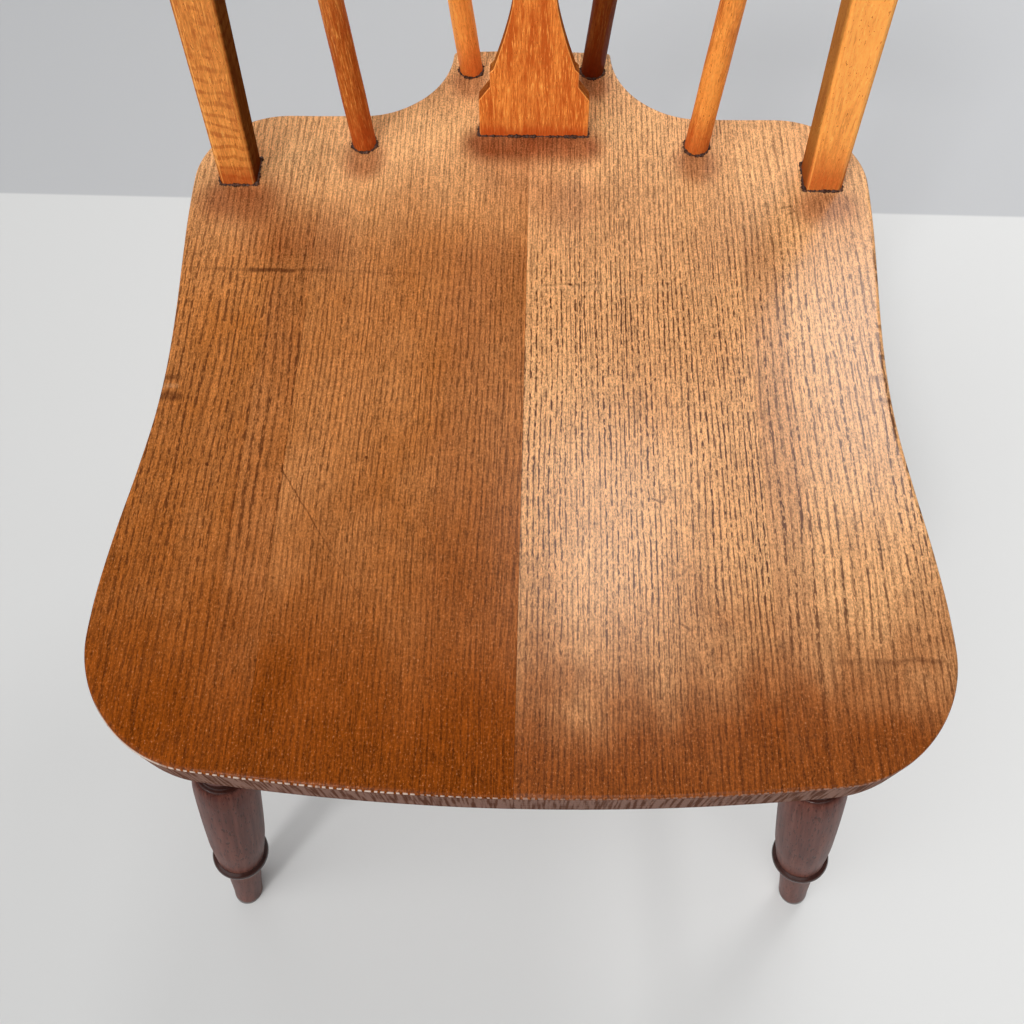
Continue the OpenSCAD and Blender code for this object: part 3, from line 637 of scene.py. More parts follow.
class Finish:
    """A material or world being mixed: its nodes, and the few recipes that all the finishes use."""

    def __init__(self, name, seed=None, tints=None, kind="materials"):
        self.material = getattr(bpy.data, kind).new(name)
        self.material.use_nodes = True
        self.tree = self.material.node_tree
        self.tree.nodes.clear()
        if seed is not None:
            # Places across, through and along the wood, in metres.
            self.seed, self.tints = seed, tints
            self.across, self.depth, self.along = self.parts(
                self.node("ShaderNodeAttribute", {"attribute_name": "grain"}, output=1))

    def node(self, kind, settings=None, inputs=None, output=0):
        """Adds a node, puts its settings, then the values or links of its sockets. It gives the
        numbered output, one Value for each of several, or nothing where output is None."""
        made = self.tree.nodes.new(kind)
        for key, setting in (settings or {}).items():
            setattr(made, key, setting)
        for key, given in (inputs or {}).items():
            if isinstance(given, Value):
                self.tree.links.new(given.socket, made.inputs[key])
            else:
                made.inputs[key].default_value = given
        if isinstance(output, tuple):
            return [Value(self, made.outputs[k]) for k in output]
        return None if output is None else Value(self, made.outputs[output])

    def parts(self, vector):
        """The three numbers of a place or direction."""
        return self.node("ShaderNodeSeparateXYZ", None, {0: vector}, output=(0, 1, 2))

    def vector(self, x, y, z=0.0):
        return self.node("ShaderNodeCombineXYZ", None, {0: x, 1: y, 2: z})

    def noise(self, vector, detail=2.0, roughness=0.5):
        return self.node("ShaderNodeTexNoise", None, {"Vector": vector, "Scale": 1.0, "Detail": detail,
                                                      "Roughness": roughness})

    def fibres(self, across, along, through, detail=2.0, roughness=0.5, shift="across"):
        """Noise in the wood with so many waves to the metre across, along and through it. The
        piece's seed moves it in the direction that shift names."""
        x, y, z = self.across * across, self.along * along, self.depth * through
        place = self.vector(x, y + self.seed, z) if shift == "along" else self.vector(x + self.seed, y, z)
        return self.noise(place, detail, roughness)

    def step(self, value, low, high):
        """0 below low, 1 above high, and a smooth rise between."""
        return self.node("ShaderNodeMapRange", {"interpolation_type": "SMOOTHSTEP"},
                         {"Value": value, "From Min": low, "From Max": high})

    def band(self, value, low, high, soft):
        """1 from low to high, fading over soft to either side of both."""
        return self.step(value, low - soft, low + soft) * (1 - self.step(value, high - soft, high + soft))

    def mix(self, share, a, b):
        """Colour a, with the share of b laid over it."""
        a, b = ((*c, 1.0) if isinstance(c, (tuple, list)) and len(c) == 3 else c for c in (a, b))
        return self.node("ShaderNodeMix", {"data_type": "RGBA", "clamp_factor": True},
                         {0: share, 6: a, 7: b}, output=2)

    def lay(self, name, share):
        """Lays a share of a named colour over the surface's tint so far."""
        self.tint = self.mix(share, self.tint, self.tints[name])

    def scaled(self, tint, value):
        """A colour made brighter or darker by a value."""
        return self.node("ShaderNodeVectorMath", {"operation": "SCALE"}, {0: tint, 3: value})

    def mark(self, place, start, end, half, soft):
        """A line of wear: 1 within half of the segment from start to end, fading over soft. The
        distance is the length of p - a - t d, with t the clamped share of (p - a) . d / d . d."""
        a, d = np.array([*start, 0.0]) * MM, (np.array([*end, 0.0]) - np.array([*start, 0.0])) * MM
        away = self.node("ShaderNodeVectorMath", {"operation": "SUBTRACT"}, {0: place, 1: tuple(a)})
        t = self.node("ShaderNodeVectorMath", {"operation": "DOT_PRODUCT"},
                      {0: away, 1: tuple(d / max(d @ d, 1e-12))}, output=1)
        t = t.held()
        on = self.node("ShaderNodeVectorMath", {"operation": "SCALE"}, {0: tuple(d), 3: t})
        gap = self.node("ShaderNodeVectorMath", {"operation": "DISTANCE"}, {0: away, 1: on}, output=1)
        return 1 - self.step(gap, half * MM, (half + soft) * MM)

    def shader(self, roughness, height, bump, coat, coat_roughness, specular, depth=0.0003):
        """Puts the varnished surface together."""
        normal = self.node("ShaderNodeBump", None, {"Strength": bump, "Distance": depth, "Height": height})
        surface = self.node("ShaderNodeBsdfPrincipled", None,
                            {"Base Color": self.tint, "Roughness": roughness, "Normal": normal,
                             "Coat Weight": coat, "Coat Roughness": coat_roughness,
                             "Specular IOR Level": specular})
        return self.done("ShaderNodeOutputMaterial", surface)

    def done(self, kind, surface):
        """Joins the finished surface to its output."""
        self.node(kind, None, {"Surface": surface}, output=None)
        return self.material


# Wear on the seat: start, end, half width, soft edge (mm) and strength; darker, or paler where the
# strength is below nought.
SEAT_MARKS = [
    ((-126, 167), (-104, 133), 0.22, 0.40, 0.55), ((-104, 133), (-73, 87), 0.12, 0.40, 0.42),
    ((-203, 222), (-189, 222), 0.4, 2.6, 0.45), ((-203, 211), (-188, 210), 0.9, 3.2, 0.62),
    ((-201, 205), (-196, 200), 0.5, 2.6, 0.35), ((-203, 216.5), (-190, 216), 0.4, 1.8, -0.2),
    ((-185, 297), (-118, 297), 0.3, 1.6, 0.35), ((-160, 297), (-135, 296.5), 0.5, 1.5, 0.55),
    ((-118, 297), (-60, 295), 0.2, 1.6, 0.22),
    ((10, 289), (42, 289), 0.2, 1.0, 0.30), ((25, 289), (25.5, 289), 0.5, 0.8, 0.8),
    ((6, 286), (124, 288), 0.3, 3.4, -0.13),
    ((196, 242), (198, 242), 0.9, 1.4, 0.7), ((197, 263), (199, 263), 0.7, 1.2, 0.7),
    ((188, 229), (199, 228), 0.4, 2.8, 0.42), ((193, 214), (201, 212), 0.5, 2.8, 0.45),
    ((172, 68), (203, 69), 0.2, 1.9, 0.42), ((150, 67), (172, 68), 0.2, 2.0, 0.25),
    ((147, 92), (151, 50), 0.3, 1.8, 0.28),
    ((68, 153), (72, 151), 0.3, 0.6, 0.5), ((72, 151), (75, 154), 0.3, 0.6, 0.4),
    ((80, 84), (84, 82), 0.3, 0.6, 0.5), ((-166, 168), (-165.5, 167.5), 0.5, 0.8, 0.85),
    ((-82, 174), (-82, 173.5), 0.5, 0.8, 0.85),
    ((151, 348.5), (156, 349), 0.2, 0.9, 0.4), ((156, 349), (158, 345), 0.2, 0.9, 0.35),
    ((158, 345), (153, 343), 0.2, 0.9, 0.4), ((150.5, 344.5), (150.5, 348), 0.2, 0.9, 0.3),
]

# Where varnish has pooled against the feet of the uprights, painted darker still with the shade and
# reflection that the uprights cast there: start, end, half width, soft edge (mm) and strength.
POOLS_AND_FOOT_SHADE = [
    ((-27, 396), (31, 396), 5.0, 17.0, 0.80), ((-102, 384), (-102, 380), 5.0, 15.0, 0.62),
    ((102, 384), (102, 380), 5.0, 15.0, 0.55), ((-39, 450), (-39, 446), 4.0, 13.0, 0.55),
    ((39, 450), (39, 446), 4.0, 13.0, 0.70), ((-10, 372), (22, 352), 3.0, 30.0, 0.34),
    ((-184, 350), (-168, 347), 4.0, 21.0, 0.62),
    ((170, 348), (184, 350), 4.0, 16.0, 0.50), ((-160, 352), (-150, 318), 3.0, 26.0, 0.40),
    ((-120, 330), (-118, 312), 3.0, 22.0, 0.25), ((25, 335), (110, 332), 18.0, 28.0, 0.10),
]

# For each board: seed, tone (0 russet, 1 honey, which carries painted sheen), growth ring width
# (mm), how far back the varnish lies thick (mm), the gloss left on it, how open its pores are,
# and bands of dark heartwood as (from, to, softness of each side, strength) across.
BOARDS = {
    "seat_board_outer_left": dict(seed=3.1, tone=0.15, ring=4.2, thick=178.0, coat=0.22, open=0.80,
                                  hearts=[(-149, -119, 4.5, 0.42)]),
    "seat_board_inner_left": dict(seed=8.7, tone=0.18, ring=3.1, thick=205.0, coat=0.25, open=0.62,
                                  hearts=[(-46, 14, 11, 0.50), (-140, -46, 9, 0.20)]),
    "seat_board_inner_right": dict(seed=15.3, tone=0.80, ring=2.9, thick=122.0, coat=0.63, open=1.0,
                                   hearts=[]),
    "seat_board_outer_right": dict(seed=22.9, tone=0.92, ring=4.1, thick=144.0, coat=0.67, open=0.92,
                                   hearts=[(120, 146, 5.5, 0.34)]),
}


def near_span(marks, span, margin):
    """The marks that reach a board, or come within margin millimetres of it."""
    return [mark for mark in marks
            if span[0] - margin < max(mark[0][0], mark[1][0])
            and min(mark[0][0], mark[1][0]) < span[1] + margin]


def seat_wood(name, board, span, tints):
    """Open-grained board under worn varnish. Growth rings are cosine waves across the board whose
    phase wanders with slow noise; dark pores are long thin noise, thresholded, that gathers where
    the wave is high; tone, heart streaks, thick varnish at the front, wear, painted shade at the
    feet and painted sheen and highlights lie over them."""
    f = Finish(name, board["seed"], tints)
    across, depth, along = f.across, f.depth, f.along
    # Growth rings.
    slow = f.fibres(7, 2.6, 7, detail=1.5)
    drift = f.fibres(42, 5.5, 30, detail=1.0)
    fine = f.fibres(300, 45, 300, detail=1.0, shift="along")
    cloud = f.fibres(13, 9, 13, detail=3.0, roughness=0.6, shift="along")
    patch = f.fibres(34, 24, 30, detail=2.0, roughness=0.6)
    phase = (across + depth * 0.3) / (board["ring"] * MM) + slow * 4.0 + drift * 2.4 + fine * 0.5
    wave = (phase * (2 * math.pi)).maths("COSINE") * 0.5 + 0.5
    between = (phase * (4 * math.pi) + 0.6).maths("COSINE") * 0.5 + 0.5
    early = f.step(wave, 0.40, 0.90).most(f.step(between, 0.70, 1.0) * f.step(drift, 0.44, 0.60))
    row = f.step(wave, 0.76, 0.96)

    # Pores, and the fine texture between them.
    long_pores = f.fibres(1150, 170, 900, detail=1.5)
    row_pores = f.fibres(520, 190, 520, detail=1.5)
    short_pores = f.fibres(1500, 400, 1500, detail=1.0, shift="along")
    hair = f.fibres(860, 90, 860, detail=2.5, roughness=0.8, shift="along")
    dust = f.fibres(1000, 700, 1000, detail=2.0, roughness=0.7)
    sheaf = f.fibres(460, 12, 460, detail=2.0, roughness=0.6)
    bold = f.step(f.fibres(170, 4, 150, detail=1.0), 0.30, 0.60) * 0.55 + 0.45
    open_here = (patch - 0.5) * 0.25
    pores = f.step(long_pores + open_here, 0.545, 0.595) * early
    pores = pores.most(f.step(row_pores + open_here, 0.465, 0.525) * row) * bold
    pores = (pores + f.step(short_pores, 0.60, 0.66) * 0.55).held()

    # Colour: the board's own tone, whose honey is partly painted sheen, paler at the back partly
    # from wear and partly as painted sheen, then heart streaks and thick varnish.
    tone = (cloud - 0.5) * 0.8 + f.step(along, 0.285, 0.41) * 0.95 * (1.0 - board["tone"]) + board["tone"]
    f.tint = f.mix(tone.held(), tints["russet"], tints["honey"])
    kept = 1 - f.step(along + (patch - 0.5) * 0.05, 0.305, 0.345)
    for low, high, soft, strength in board["hearts"]:
        wandering = across + (slow - 0.5) * 0.012
        streak = f.band(wandering, low * MM, high * MM, soft * MM) * kept
        f.lay("plum", streak * (patch * 0.9 + 0.55) * strength)
    if span[0] < -JOINT_X:
        orange = f.band(across, -0.30, -0.1475, 0.0012) * (1 - f.step(along, 0.17, 0.30))
        f.lay("burnt", orange * 0.38)
    thick = 1 - f.step(along + (patch - 0.5) * 0.05 + (cloud - 0.5) * 0.08, 0.018, board["thick"] * MM)
    f.lay("burnt", thick * 0.95)
    # Pooled varnish round the feet, darkened with painted contact shade and painted reflection.
    for start, end, half, soft, strength in near_span(POOLS_AND_FOOT_SHADE, span, 20):
        pool = f.mark(f.vector(across, along), start, end, half, soft)
        f.lay("pooled", pool * (patch * 0.8 + 0.6) * strength)
    light = (patch - 0.5) * 0.34 + (cloud - 0.5) * 0.25 + (hair - 0.5) * 2.1 + (sheaf - 0.5) * 0.8
    light = light + (dust - 0.5) * 2.1 + (1 - early) * 0.14 + 1.04 - (1 - f.step(along, 0.0, 0.05)) * 0.14
    f.tint = f.scaled(f.tint, light)
    f.lay("pale", f.step(dust, 0.60, 0.72) * 0.28)
    shown = (0.97 - thick * 0.50 - f.step(along, 0.27, 0.36) * 0.42) * board["open"]
    f.lay("pore", pores * shown)

    # Scratches, stains and nicks, whose outlines waver.
    wobble = f.noise(f.vector(across * 260, along * 260, f.seed), detail=2.0) - 0.5
    waver = f.noise(f.vector(across * 70, along * 70, f.seed), detail=1.0) - 0.5
    place = f.vector(across + wobble * 0.0016, along + wobble * 0.0012 + waver * 0.003)
    for start, end, half, soft, strength in near_span(SEAT_MARKS, span, 6):
        worn = f.mark(place, start, end, half, soft) * (wobble + 1.0) * abs(strength)
        f.lay("pore" if strength > 0 else "pale", worn.held())

    # The edge below the top: end grain greyed with painted sheen, a darker arris, and ticks of painted
    # highlight on it at the front, which join up at the left corner.
    edge = f.step(depth, -0.0020, -0.0005)
    side = 1 - f.step(depth, -0.0030, -0.0016)
    ribs = f.fibres(560, 12, 34, detail=1.0)
    lines = f.noise(f.vector(f.seed, along * 9, depth * 700), detail=1.5)
    edge_grain_and_sheen = f.mix(f.step(ribs * 0.8 + lines * 0.2, 0.42, 0.58), tints["side_dark"], tints["side_light"])
    f.tint = f.mix(side * 0.85, f.tint, edge_grain_and_sheen)
    f.lay("pore", (1 - edge) * (1 - side) * 0.40)
    ticks = ((across / 0.0034 + wobble * 1.2 + 0.6) * (2 * math.pi)).maths("SINE")
    dashes = f.step(ticks, -0.45, 0.10) * (f.step(wobble, -0.14, 0.02) * 0.6 + 0.4)
    corner = 1 - f.step(across, -0.168, -0.156)
    dashes = dashes.most(corner * (f.step(wobble, -0.20, -0.08) * 0.4 + 0.6))
    reach = (1 - f.step(along, 0.010, 0.03)).most(corner * (1 - f.step(along, 0.030, 0.044)))
    painted_glints = f.band(depth, -0.0018, -0.0007, 0.0003) * dashes * reach
    f.lay("glint", painted_glints * (0.95 - f.step(across, -0.05, 0.03) * 0.78))
    roughness = (patch - 0.5) * 0.14 + pores * 0.12 + 0.35
    height = 1 - pores + hair * 0.4 + dust * 0.25
    return f.shader(roughness, height, bump=0.7, depth=0.00026, specular=0.0,
                    coat=(1 - side * 0.95) * (1 - thick * 0.3) * board["coat"], coat_roughness=0.23)


# How each piece of the back differs; back_wood says what the words mean.
BACK_LOOKS = {
    # side paints shade on the narrow faces of the stiles and the splat.
    "stile_left": dict(share=0.58, ripple=0.55, side=0.80, inner=1, yellow=0.15, light=1.12, pool=16.0),
    "stile_right": dict(share=0.90, arches=0.45, side=0.55, inner=-1, yellow=0.38, light=1.3),
    "stick_left": dict(share=0.28, light=1.05),
    "stick_right": dict(share=0.80, light=1.2),
    "brace_stick_left": dict(share=0.84, light=1.32, yellow=0.20),
    # Its foot is painted darker, as the splat's shadow over it.
    "brace_stick_right": dict(share=0.30, light=1.1, redder=0.35, foot_shadow=0.70),
    "splat": dict(share=0.30, light=1.47, redder=0.08, pool=9.0, side=0.6, half=5.5),
    "crest_rail": dict(ripple=0.15),
}


def back_wood(name, seed, tints, share=0.5, ripple=0.0, arches=0.0, light=1.2, redder=0.0, pool=34.0,
              side=0.0, yellow=0.0, foot_shadow=0.0, half=10.5, inner=0):
    """Stained, close-grained wood with brushed varnish. Stripes and flecks are noise drawn out
    along the piece. share says how much of it is amber, yellow how much gold lies over it, redder
    how much red, and light how bright it is. ripple adds curly figure, as waves along the piece;
    arches add cathedral figure, as rings whose phase is along less across squared. The lowest pool
    millimetres are redder, where varnish has gathered, and a painted shadow can darken the foot.
    side paints shade on the narrow faces of a piece half millimetres deep from its middle, most on
    the one that inner points at, and paints a highlight along their corners."""
    f = Finish(name, seed, tints)
    across, depth, along = f.across, f.depth, f.along
    stripes = f.fibres(420, 24, 420, detail=3.0, roughness=0.62)
    threads = f.fibres(1250, 115, 1250, detail=2.5, roughness=0.7)
    specks = f.fibres(1100, 330, 1100, detail=1.5, roughness=0.7, shift="along")
    blotch = f.fibres(60, 16, 60, detail=3.0, shift="along")
    figure = (stripes - 0.5) * 1.7 + (blotch - 0.5) * 1.5 + (threads - 0.5) * 2.0 + share
    if ripple:
        curl = f.fibres(60, 50, 60, detail=2.0)
        waves = ((along / 0.0068 + across * 18 + curl * 1.7) * (2 * math.pi)).maths("SINE")
        figure = figure - f.step(waves, 0.1, 0.9) * (f.step(blotch, 0.36, 0.56) * ripple)
    if arches:
        rings = along / 0.040 - (across / 0.0062) ** 2.0 + stripes * 0.5 + blotch * 2.2
        line = (rings * (2 * math.pi)).maths("SINE")
        figure = figure + f.step(line, 0.55, 0.95) * arches - f.step(line, 0.0, -0.9) * (arches * 0.5)
    f.tint = f.mix(figure.held(), tints["chestnut"], tints["amber"])
    f.lay("gold", f.step(threads, 0.58, 0.68) * 0.50 + yellow)
    fleck = f.step(specks, 0.62, 0.70)
    f.lay("dark_fleck", fleck * 0.60)
    pooled = 1 - f.step(along + (blotch - 0.5) * pool * 0.6 * MM, 0.0, pool * MM)
    f.lay("red", pooled * 0.70 + redder)
    # Painted shade on the narrow faces, strongest on the inner one and near the foot.
    away = depth.maths("ABSOLUTE") / (half * MM)
    shade = (1 - f.step(away, 0.80, 0.93)) * (1 - f.step(along, 0.10, 0.21) * 0.65) * side
    if inner:
        shade = shade * (f.step(across * inner, -0.001, 0.001) * 0.6 + 0.4)
    # Painted highlight along the corners of the narrow faces.
    f.lay("gold", f.band(away, 0.93, 0.985, 0.012) * side * 0.6)
    # Painted shadow over the foot, fading out above it.
    painted_foot_shadow = (1 - f.step(along, 0.085, 0.20)) * foot_shadow
    f.tint = f.scaled(f.tint, ((specks - 0.5) * 0.9 + light) * (1 - shade) * (1 - painted_foot_shadow))
    roughness = (blotch - 0.5) * 0.16 + 0.32
    height = threads * 0.7 + specks * 0.5 - fleck * 0.4
    return f.shader(roughness, height, bump=0.45, depth=0.00028, specular=0.0,
                    coat=(1 - shade) ** 3 * 0.24, coat_roughness=0.16)


def leg_wood(name, seed, tints, lined=True):
    """Dark stain with grain streaks drawn out along the turning, rubbed lighter in patches. Legs
    are lined: they have stained pores, and are near black round the ring, the neck and the foot's
    end. Stretchers are plainer and a little more even."""
    f = Finish(name, seed, tints)
    streaks = f.fibres(330, 13, 330, detail=3.5, roughness=0.6)
    rubbed = f.fibres(45, 12, 45, detail=3.0, shift="along")
    strong, weak = (2.2, 1.4) if lined else (1.9, 1.2)
    share = (streaks - 0.5) * strong + (rubbed - 0.5) * weak + 0.42
    f.tint = f.mix(share.held(), tints["leg"], tints["leg_light"])
    worn = (rubbed - 0.5) * 0.2
    if not lined:
        return f.shader(worn + 0.38, streaks, bump=0.35, specular=0.1, coat=0.08, coat_roughness=0.2)
    pores = f.step(f.fibres(900, 95, 900, detail=1.0, shift="along"), 0.58, 0.68)
    f.lay("night", pores * 0.6)
    lines = 1 - f.step(f.along, 0.001, 0.008)
    for low, high, soft in LEG_DARK:
        lines = lines.most(f.band(f.along, low * MM, high * MM, soft * MM))
    f.lay("night", lines * 0.8)
    return f.shader(worn + 0.36 - lines * 0.12, streaks * 0.7 - pores * 0.6, bump=0.45,
                    specular=0.03, coat=lines * 0.5 + 0.03, coat_roughness=0.18)


def glue_crust(name, seed, tints):
    """Old glue and dirt: dark, lumpy and glossy in places."""
    f = Finish(name, seed, tints)
    lumps = f.fibres(500, 500, 500, detail=3.0, roughness=0.65)
    f.tint = f.mix(f.step(lumps, 0.45, 0.62), tints["glue"], tints["glue_light"])
    return f.shader((lumps - 0.5) * 0.5 + 0.34, lumps, bump=0.8, depth=0.0006, specular=0.15,
                    coat=0.12, coat_roughness=0.15)


def tints_of(finish):
    """The user's colours, and the few that follow from them."""
    tints = {name: tuple(getattr(finish, name)) for name in finish.__annotations__}

    def changed(name, *shares):
        return tuple(min(1.0, c * share) for c, share in zip(tints[name], shares))

    return tints | {
        "red": changed("chestnut", 0.95, 0.62, 0.6), "night": changed("leg", 0.22, 0.22, 0.22),
        # pooled: the dark of pooled varnish and of painted contact shade at the feet.
        "glue_light": changed("glue", 2.6, 2.6, 2.6), "pooled": (0.22, 0.038, 0.006),
        "pale": (0.72, 0.42, 0.21), "gold": (0.95, 0.46, 0.11), "dark_fleck": (0.16, 0.028, 0.006),
        # The two side tints are the edge's end grain greyed with painted sheen; glint is painted highlight.
        "side_dark": (0.098, 0.049, 0.036), "side_light": (0.25, 0.155, 0.125),
        "glint": (0.72, 0.58, 0.48)}


# ---- operators ----

def settings(context):
    """The user's shapes, and the colours that go with their finish."""
    return context.scene.chair_shape, tints_of(context.scene.chair_finish)


class CHAIR_OT_seat(bpy.types.Operator):
    """Glue up the seat from its four boards"""
    bl_idname = "chair.seat"
    bl_label = "Seat boards"

    def execute(self, context):
        shape, tints = settings(context)
        gap = JOINT_GAP / 2
        # An outer board's far side only has to lie past the seat's edge.
        spans = {"outer": (JOINT_X + gap, SIDE_X + 9), "inner": (gap, JOINT_X - gap)}
        for node, board in BOARDS.items():
            kind, word = node.split("_")[2:]
            near, far = spans[kind]
            side = SIDES[word]
            piece = seat_board(f"{kind}_board_{word}", near, far, side, shape)
            span = sorted((side * near, side * far))
            wood = seat_wood(f"varnished {kind} board {word}", board, span, tints)
            finish_piece(piece, wood, "seat_wood", node)
        return {"FINISHED"}


class CHAIR_OT_stiles(bpy.types.Operator):
    """Shape the two square back posts"""
    bl_idname = "chair.stiles"
    bl_label = "Stiles"

    def execute(self, context):
        shape, tints = settings(context)
        for word, side in SIDES.items():
            node = f"stile_{word}"
            piece = stile(f"back_post_{word}", node, shape)
            wood = back_wood(f"post wood {word}", 4.0 + side, tints, **BACK_LOOKS[node])
            finish_piece(piece, wood, "back_wood", node)
        return {"FINISHED"}


class CHAIR_OT_sticks(bpy.types.Operator):
    """Turn the four sticks of the back"""
    bl_idname = "chair.sticks"
    bl_label = "Sticks"

    def execute(self, context):
        shape, tints = settings(context)
        nodes = [f"{kind}_{word}" for kind in ("stick", "brace_stick") for word in SIDES]
        for k, node in enumerate(nodes):
            piece = stick(f"turned_{node}", node, shape)
            wood = back_wood(f"turned wood {node}", 11.0 + 7 * k, tints, **BACK_LOOKS[node])
            finish_piece(piece, wood, "back_wood", node)
        return {"FINISHED"}


class CHAIR_OT_splat(bpy.types.Operator):
    """Saw and round the fiddle-shaped splat"""
    bl_idname = "chair.splat"
    bl_label = "Splat"

    def execute(self, context):
        shape, tints = settings(context)
        finish_piece(splat(shape), back_wood("splat wood", 31.0, tints, **BACK_LOOKS["splat"]),
                     "back_wood", "splat")
        return {"FINISHED"}


class CHAIR_OT_crest(bpy.types.Operator):
    """Bend and round the crest rail"""
    bl_idname = "chair.crest"
    bl_label = "Crest rail"

    def execute(self, context):
        shape, tints = settings(context)
        finish_piece(crest_rail(shape), back_wood("rail wood", 43.0, tints, **BACK_LOOKS["crest_rail"]),
                     "back_wood", "crest_rail")
        return {"FINISHED"}


class CHAIR_OT_legs(bpy.types.Operator):
    """Turn the four legs"""
    bl_idname = "chair.legs"
    bl_label = "Legs"

    def execute(self, context):
        shape, tints = settings(context)
        for k, node in enumerate(LEGS):
            piece = leg(f"turned_{node}", node, shape)
            finish_piece(piece, leg_wood(f"leg wood {k + 1}", 5.0 * k + 2, tints), "leg_wood", node)
        return {"FINISHED"}


class CHAIR_OT_stretchers(bpy.types.Operator):
    """Turn the H of stretchers between the legs"""
    bl_idname = "chair.stretchers"
    bl_label = "Stretchers"

    def execute(self, context):
        shape, tints = settings(context)
        middles = []
        for word, side in SIDES.items():
            ends = [at_height(f"leg_{place}_{word}", STRETCHER_Z) for place in ("front", "rear")]
            middles.append((ends[0] + ends[1]) / 2)
            piece = stretcher(f"side_stretcher_{word}", *ends, shape, 4.0)
            wood = leg_wood(f"stretcher wood {word}", side, tints, lined=False)
            finish_piece(piece, wood, "leg_wood", f"stretcher_{word}")
        piece = stretcher("cross_stretcher", *middles, shape, 3.0)
        wood = leg_wood("stretcher wood middle", 9.0, tints, lined=False)
        finish_piece(piece, wood, "leg_wood", "stretcher_middle")
        return {"FINISHED"}


class CHAIR_OT_glue(bpy.types.Operator):
    """Lay the squeezed-out glue and dirt round each foot in the seat"""
    bl_idname = "chair.glue"
    bl_label = "Glue lines"

    def execute(self, context):
        shape, tints = settings(context)
        crust = glue_crust("old glue", 2.0, tints)
        slant, sunk = 1 / math.cos(LEAN), 0.1
        for k, (node, (foot, top)) in enumerate(UPRIGHTS.items()):
            loop = (square_loop(foot, STILE_WIDE / 2 - sunk, (STILE_DEEP / 2 - sunk) * slant)
                    if node.startswith("stile") else round_loop(foot, top, STICK_R - sunk))
            finish_piece(glue_bead(f"glue_{node}", loop, shape, 1.7 * k + 1), crust, "seat_wood")
        loop = square_loop(SPLAT_FOOT, SPLAT_FOOT_HALF - sunk, SPLAT_THICK / 2, count=420)
        finish_piece(glue_bead("glue_splat", loop, shape, 12.0), crust, "seat_wood")
        return {"FINISHED"}


# Two suns make the key light, one hard and one soft: share of its strength, angle and height.
# Both shine the same way.
KEY_LAMPS = [("key", 0.3, 9.0, 1.45), ("soft key", 0.7, 75.0, 1.6)]
KEY_PLACE, KEY_AIM = (0.62, -0.95), np.array([0.5, 0.85, -1.25])
# Windows that shine on the seat: watts, size, place and what they face (metres).
WINDOWS = [("window", 3.0, (0.26, 0.44), (0.15, 0.54, 1.88), (0.04, -0.12, 0.44)),
           ("side window", 5.2, (0.28, 0.56), (0.72, 0.93, 1.86), (0.18, -0.03, 0.44))]
# Above the front edge, looking down on the seat: place, turns in order, and the width of the
# camera's plate with the lens's length (mm).
CAMERA_PLACE = (0.00798, -0.33432, 0.91419)
CAMERA_TURNS = [(3.0771, "Z"), (25.8974, "X"), (-1.7328, "Z")]
CAMERA_LENS = 36.0, 36.211


def put_out(name, data, place):
    """Adds a thing of the stage to the scene."""
    thing = bpy.data.objects.new(name, data)
    thing.matrix_world = place
    bpy.context.scene.collection.objects.link(thing)
    return thing


class CHAIR_OT_stage(bpy.types.Operator):
    """Set out the pale floor, the lamps and the camera"""
    bl_idname = "chair.stage"
    bl_label = "Stage"

    def execute(self, context):
        scene, stage = context.scene, context.scene.chair_stage
        scene.view_settings.view_transform = "Standard"
        floor_mesh = bpy.data.meshes.new("floor")
        floor_mesh.from_pydata([(-6, -6, 0), (6, -6, 0), (6, 6, 0), (-6, 6, 0)], [], [(0, 1, 2, 3)])
        floor = put_out("floor", floor_mesh, Matrix.Identity(4))
        floor.data.materials.append(floor_paint(tuple(stage.floor), tuple(stage.beyond)))

        for name, share, angle, height in KEY_LAMPS:
            lamp = bpy.data.lights.new(name, "SUN")
            lamp.energy, lamp.angle = stage.sun * share, math.radians(angle)
            put_out(name, lamp, Matrix.Translation((*KEY_PLACE, height)) @ looking(KEY_AIM))
        for name, power, size, place, target in WINDOWS:
            lamp = bpy.data.lights.new(name, "AREA")
            lamp.energy, lamp.shape = power, "RECTANGLE"
            lamp.size, lamp.size_y = size
            put_out(name, lamp, Matrix.Translation(place) @ looking(np.array(target) - np.array(place)))

        scene.world = studio_light(stage.sky)

        camera_data = bpy.data.cameras.new("camera")
        camera_data.sensor_width, camera_data.lens = CAMERA_LENS
        view = Matrix.Translation(CAMERA_PLACE)
        for angle, about in CAMERA_TURNS:
            view = view @ Matrix.Rotation(math.radians(angle), 4, about)
        scene.camera = put_out("camera", camera_data, view)
        return {"FINISHED"}


def looking(aim):
    """Turns a lamp so that it shines along aim."""
    forward = -aim / np.linalg.norm(aim)
    right = np.cross([0.0, 1.0, 0.0], forward)
    right /= np.linalg.norm(right)
    return Matrix(np.stack([right, np.cross(forward, right), forward], 1).tolist()).to_4x4()


def floor_paint(near, beyond):
    """Pale floor, a little brighter to the right, with a straight far line, past which it is greyer."""
    f = Finish("floor paint")
    x, y, _ = f.parts(f.node("ShaderNodeTexCoord", output=3))
    far = f.step(y + x * 0.016, 0.500, 0.504)
    tint = f.mix(far, near, beyond)
    tint = f.scaled(tint, f.step(x, -0.9, 0.9) * 0.20 + 0.90)
    surface = f.node("ShaderNodeBsdfPrincipled", None, {"Base Color": tint, "Roughness": 0.8,
                                                        "Specular IOR Level": 0.2})
    return f.done("ShaderNodeOutputMaterial", surface)


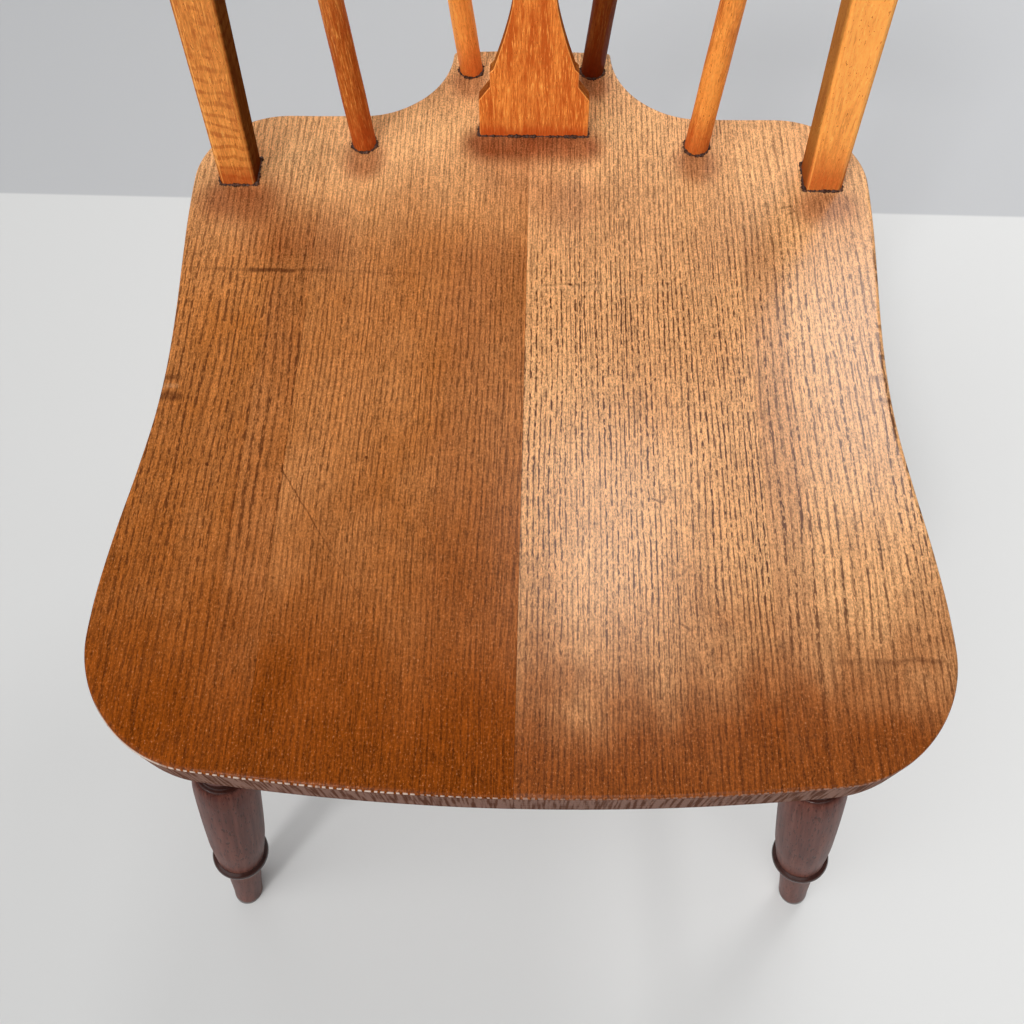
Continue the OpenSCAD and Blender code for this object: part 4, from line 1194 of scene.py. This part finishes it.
def studio_light(strength):
    """Light from all round: dim overhead, brighter low down and towards the back, so that gloss
    shows only where a surface faces that way."""
    f = Finish("studio", kind="worlds")
    x, y, z = f.parts(f.node("ShaderNodeTexCoord", output=0))
    back = f.step(y - x.maths("ABSOLUTE") * 0.15, 0.30, 0.85)
    low = 1 - f.step(z.maths("ABSOLUTE"), 0.1, 0.9)
    level = back * 0.62 + low * 0.16 + (1 - f.step(x, -0.9, 0.1)) * 0.20 + 0.09
    light = f.node("ShaderNodeBackground", None, {"Color": (0.96, 0.98, 1.0, 1.0),
                                                  "Strength": level * strength})
    return f.done("ShaderNodeOutputWorld", light)


class CHAIR_PT_panel(bpy.types.Panel):
    """Sidebar list of the chair's settings and steps"""
    bl_idname = "CHAIR_PT_panel"
    bl_label = "Fiddle-back chair"
    bl_space_type = "VIEW_3D"
    bl_region_type = "UI"
    bl_category = "Chair"

    def draw(self, context):
        for group in (context.scene.chair_shape, context.scene.chair_finish, context.scene.chair_stage):
            box = self.layout.box()
            for key in group.__annotations__:
                box.prop(group, key)
        for step in STEPS:
            self.layout.operator(step.bl_idname)


STEPS = (CHAIR_OT_stage, CHAIR_OT_seat, CHAIR_OT_stiles, CHAIR_OT_sticks, CHAIR_OT_splat, CHAIR_OT_crest,
         CHAIR_OT_legs, CHAIR_OT_stretchers, CHAIR_OT_glue)
GROUPS = {"chair_shape": ChairShape, "chair_finish": ChairFinish, "chair_stage": ChairStage}


def register():
    for group in GROUPS.values():
        bpy.utils.register_class(group)
    for name, group in GROUPS.items():
        setattr(bpy.types.Scene, name, PointerProperty(type=group))
    for cls in STEPS + (CHAIR_PT_panel,):
        bpy.utils.register_class(cls)


def unregister():
    for cls in reversed(STEPS + (CHAIR_PT_panel,)):
        bpy.utils.unregister_class(cls)
    for name, group in GROUPS.items():
        delattr(bpy.types.Scene, name)
        bpy.utils.unregister_class(group)


def main():
    register()
    for step in STEPS:
        area, action = step.bl_idname.split(".")
        getattr(getattr(bpy.ops, area), action)()


if __name__ == "__main__":
    main()
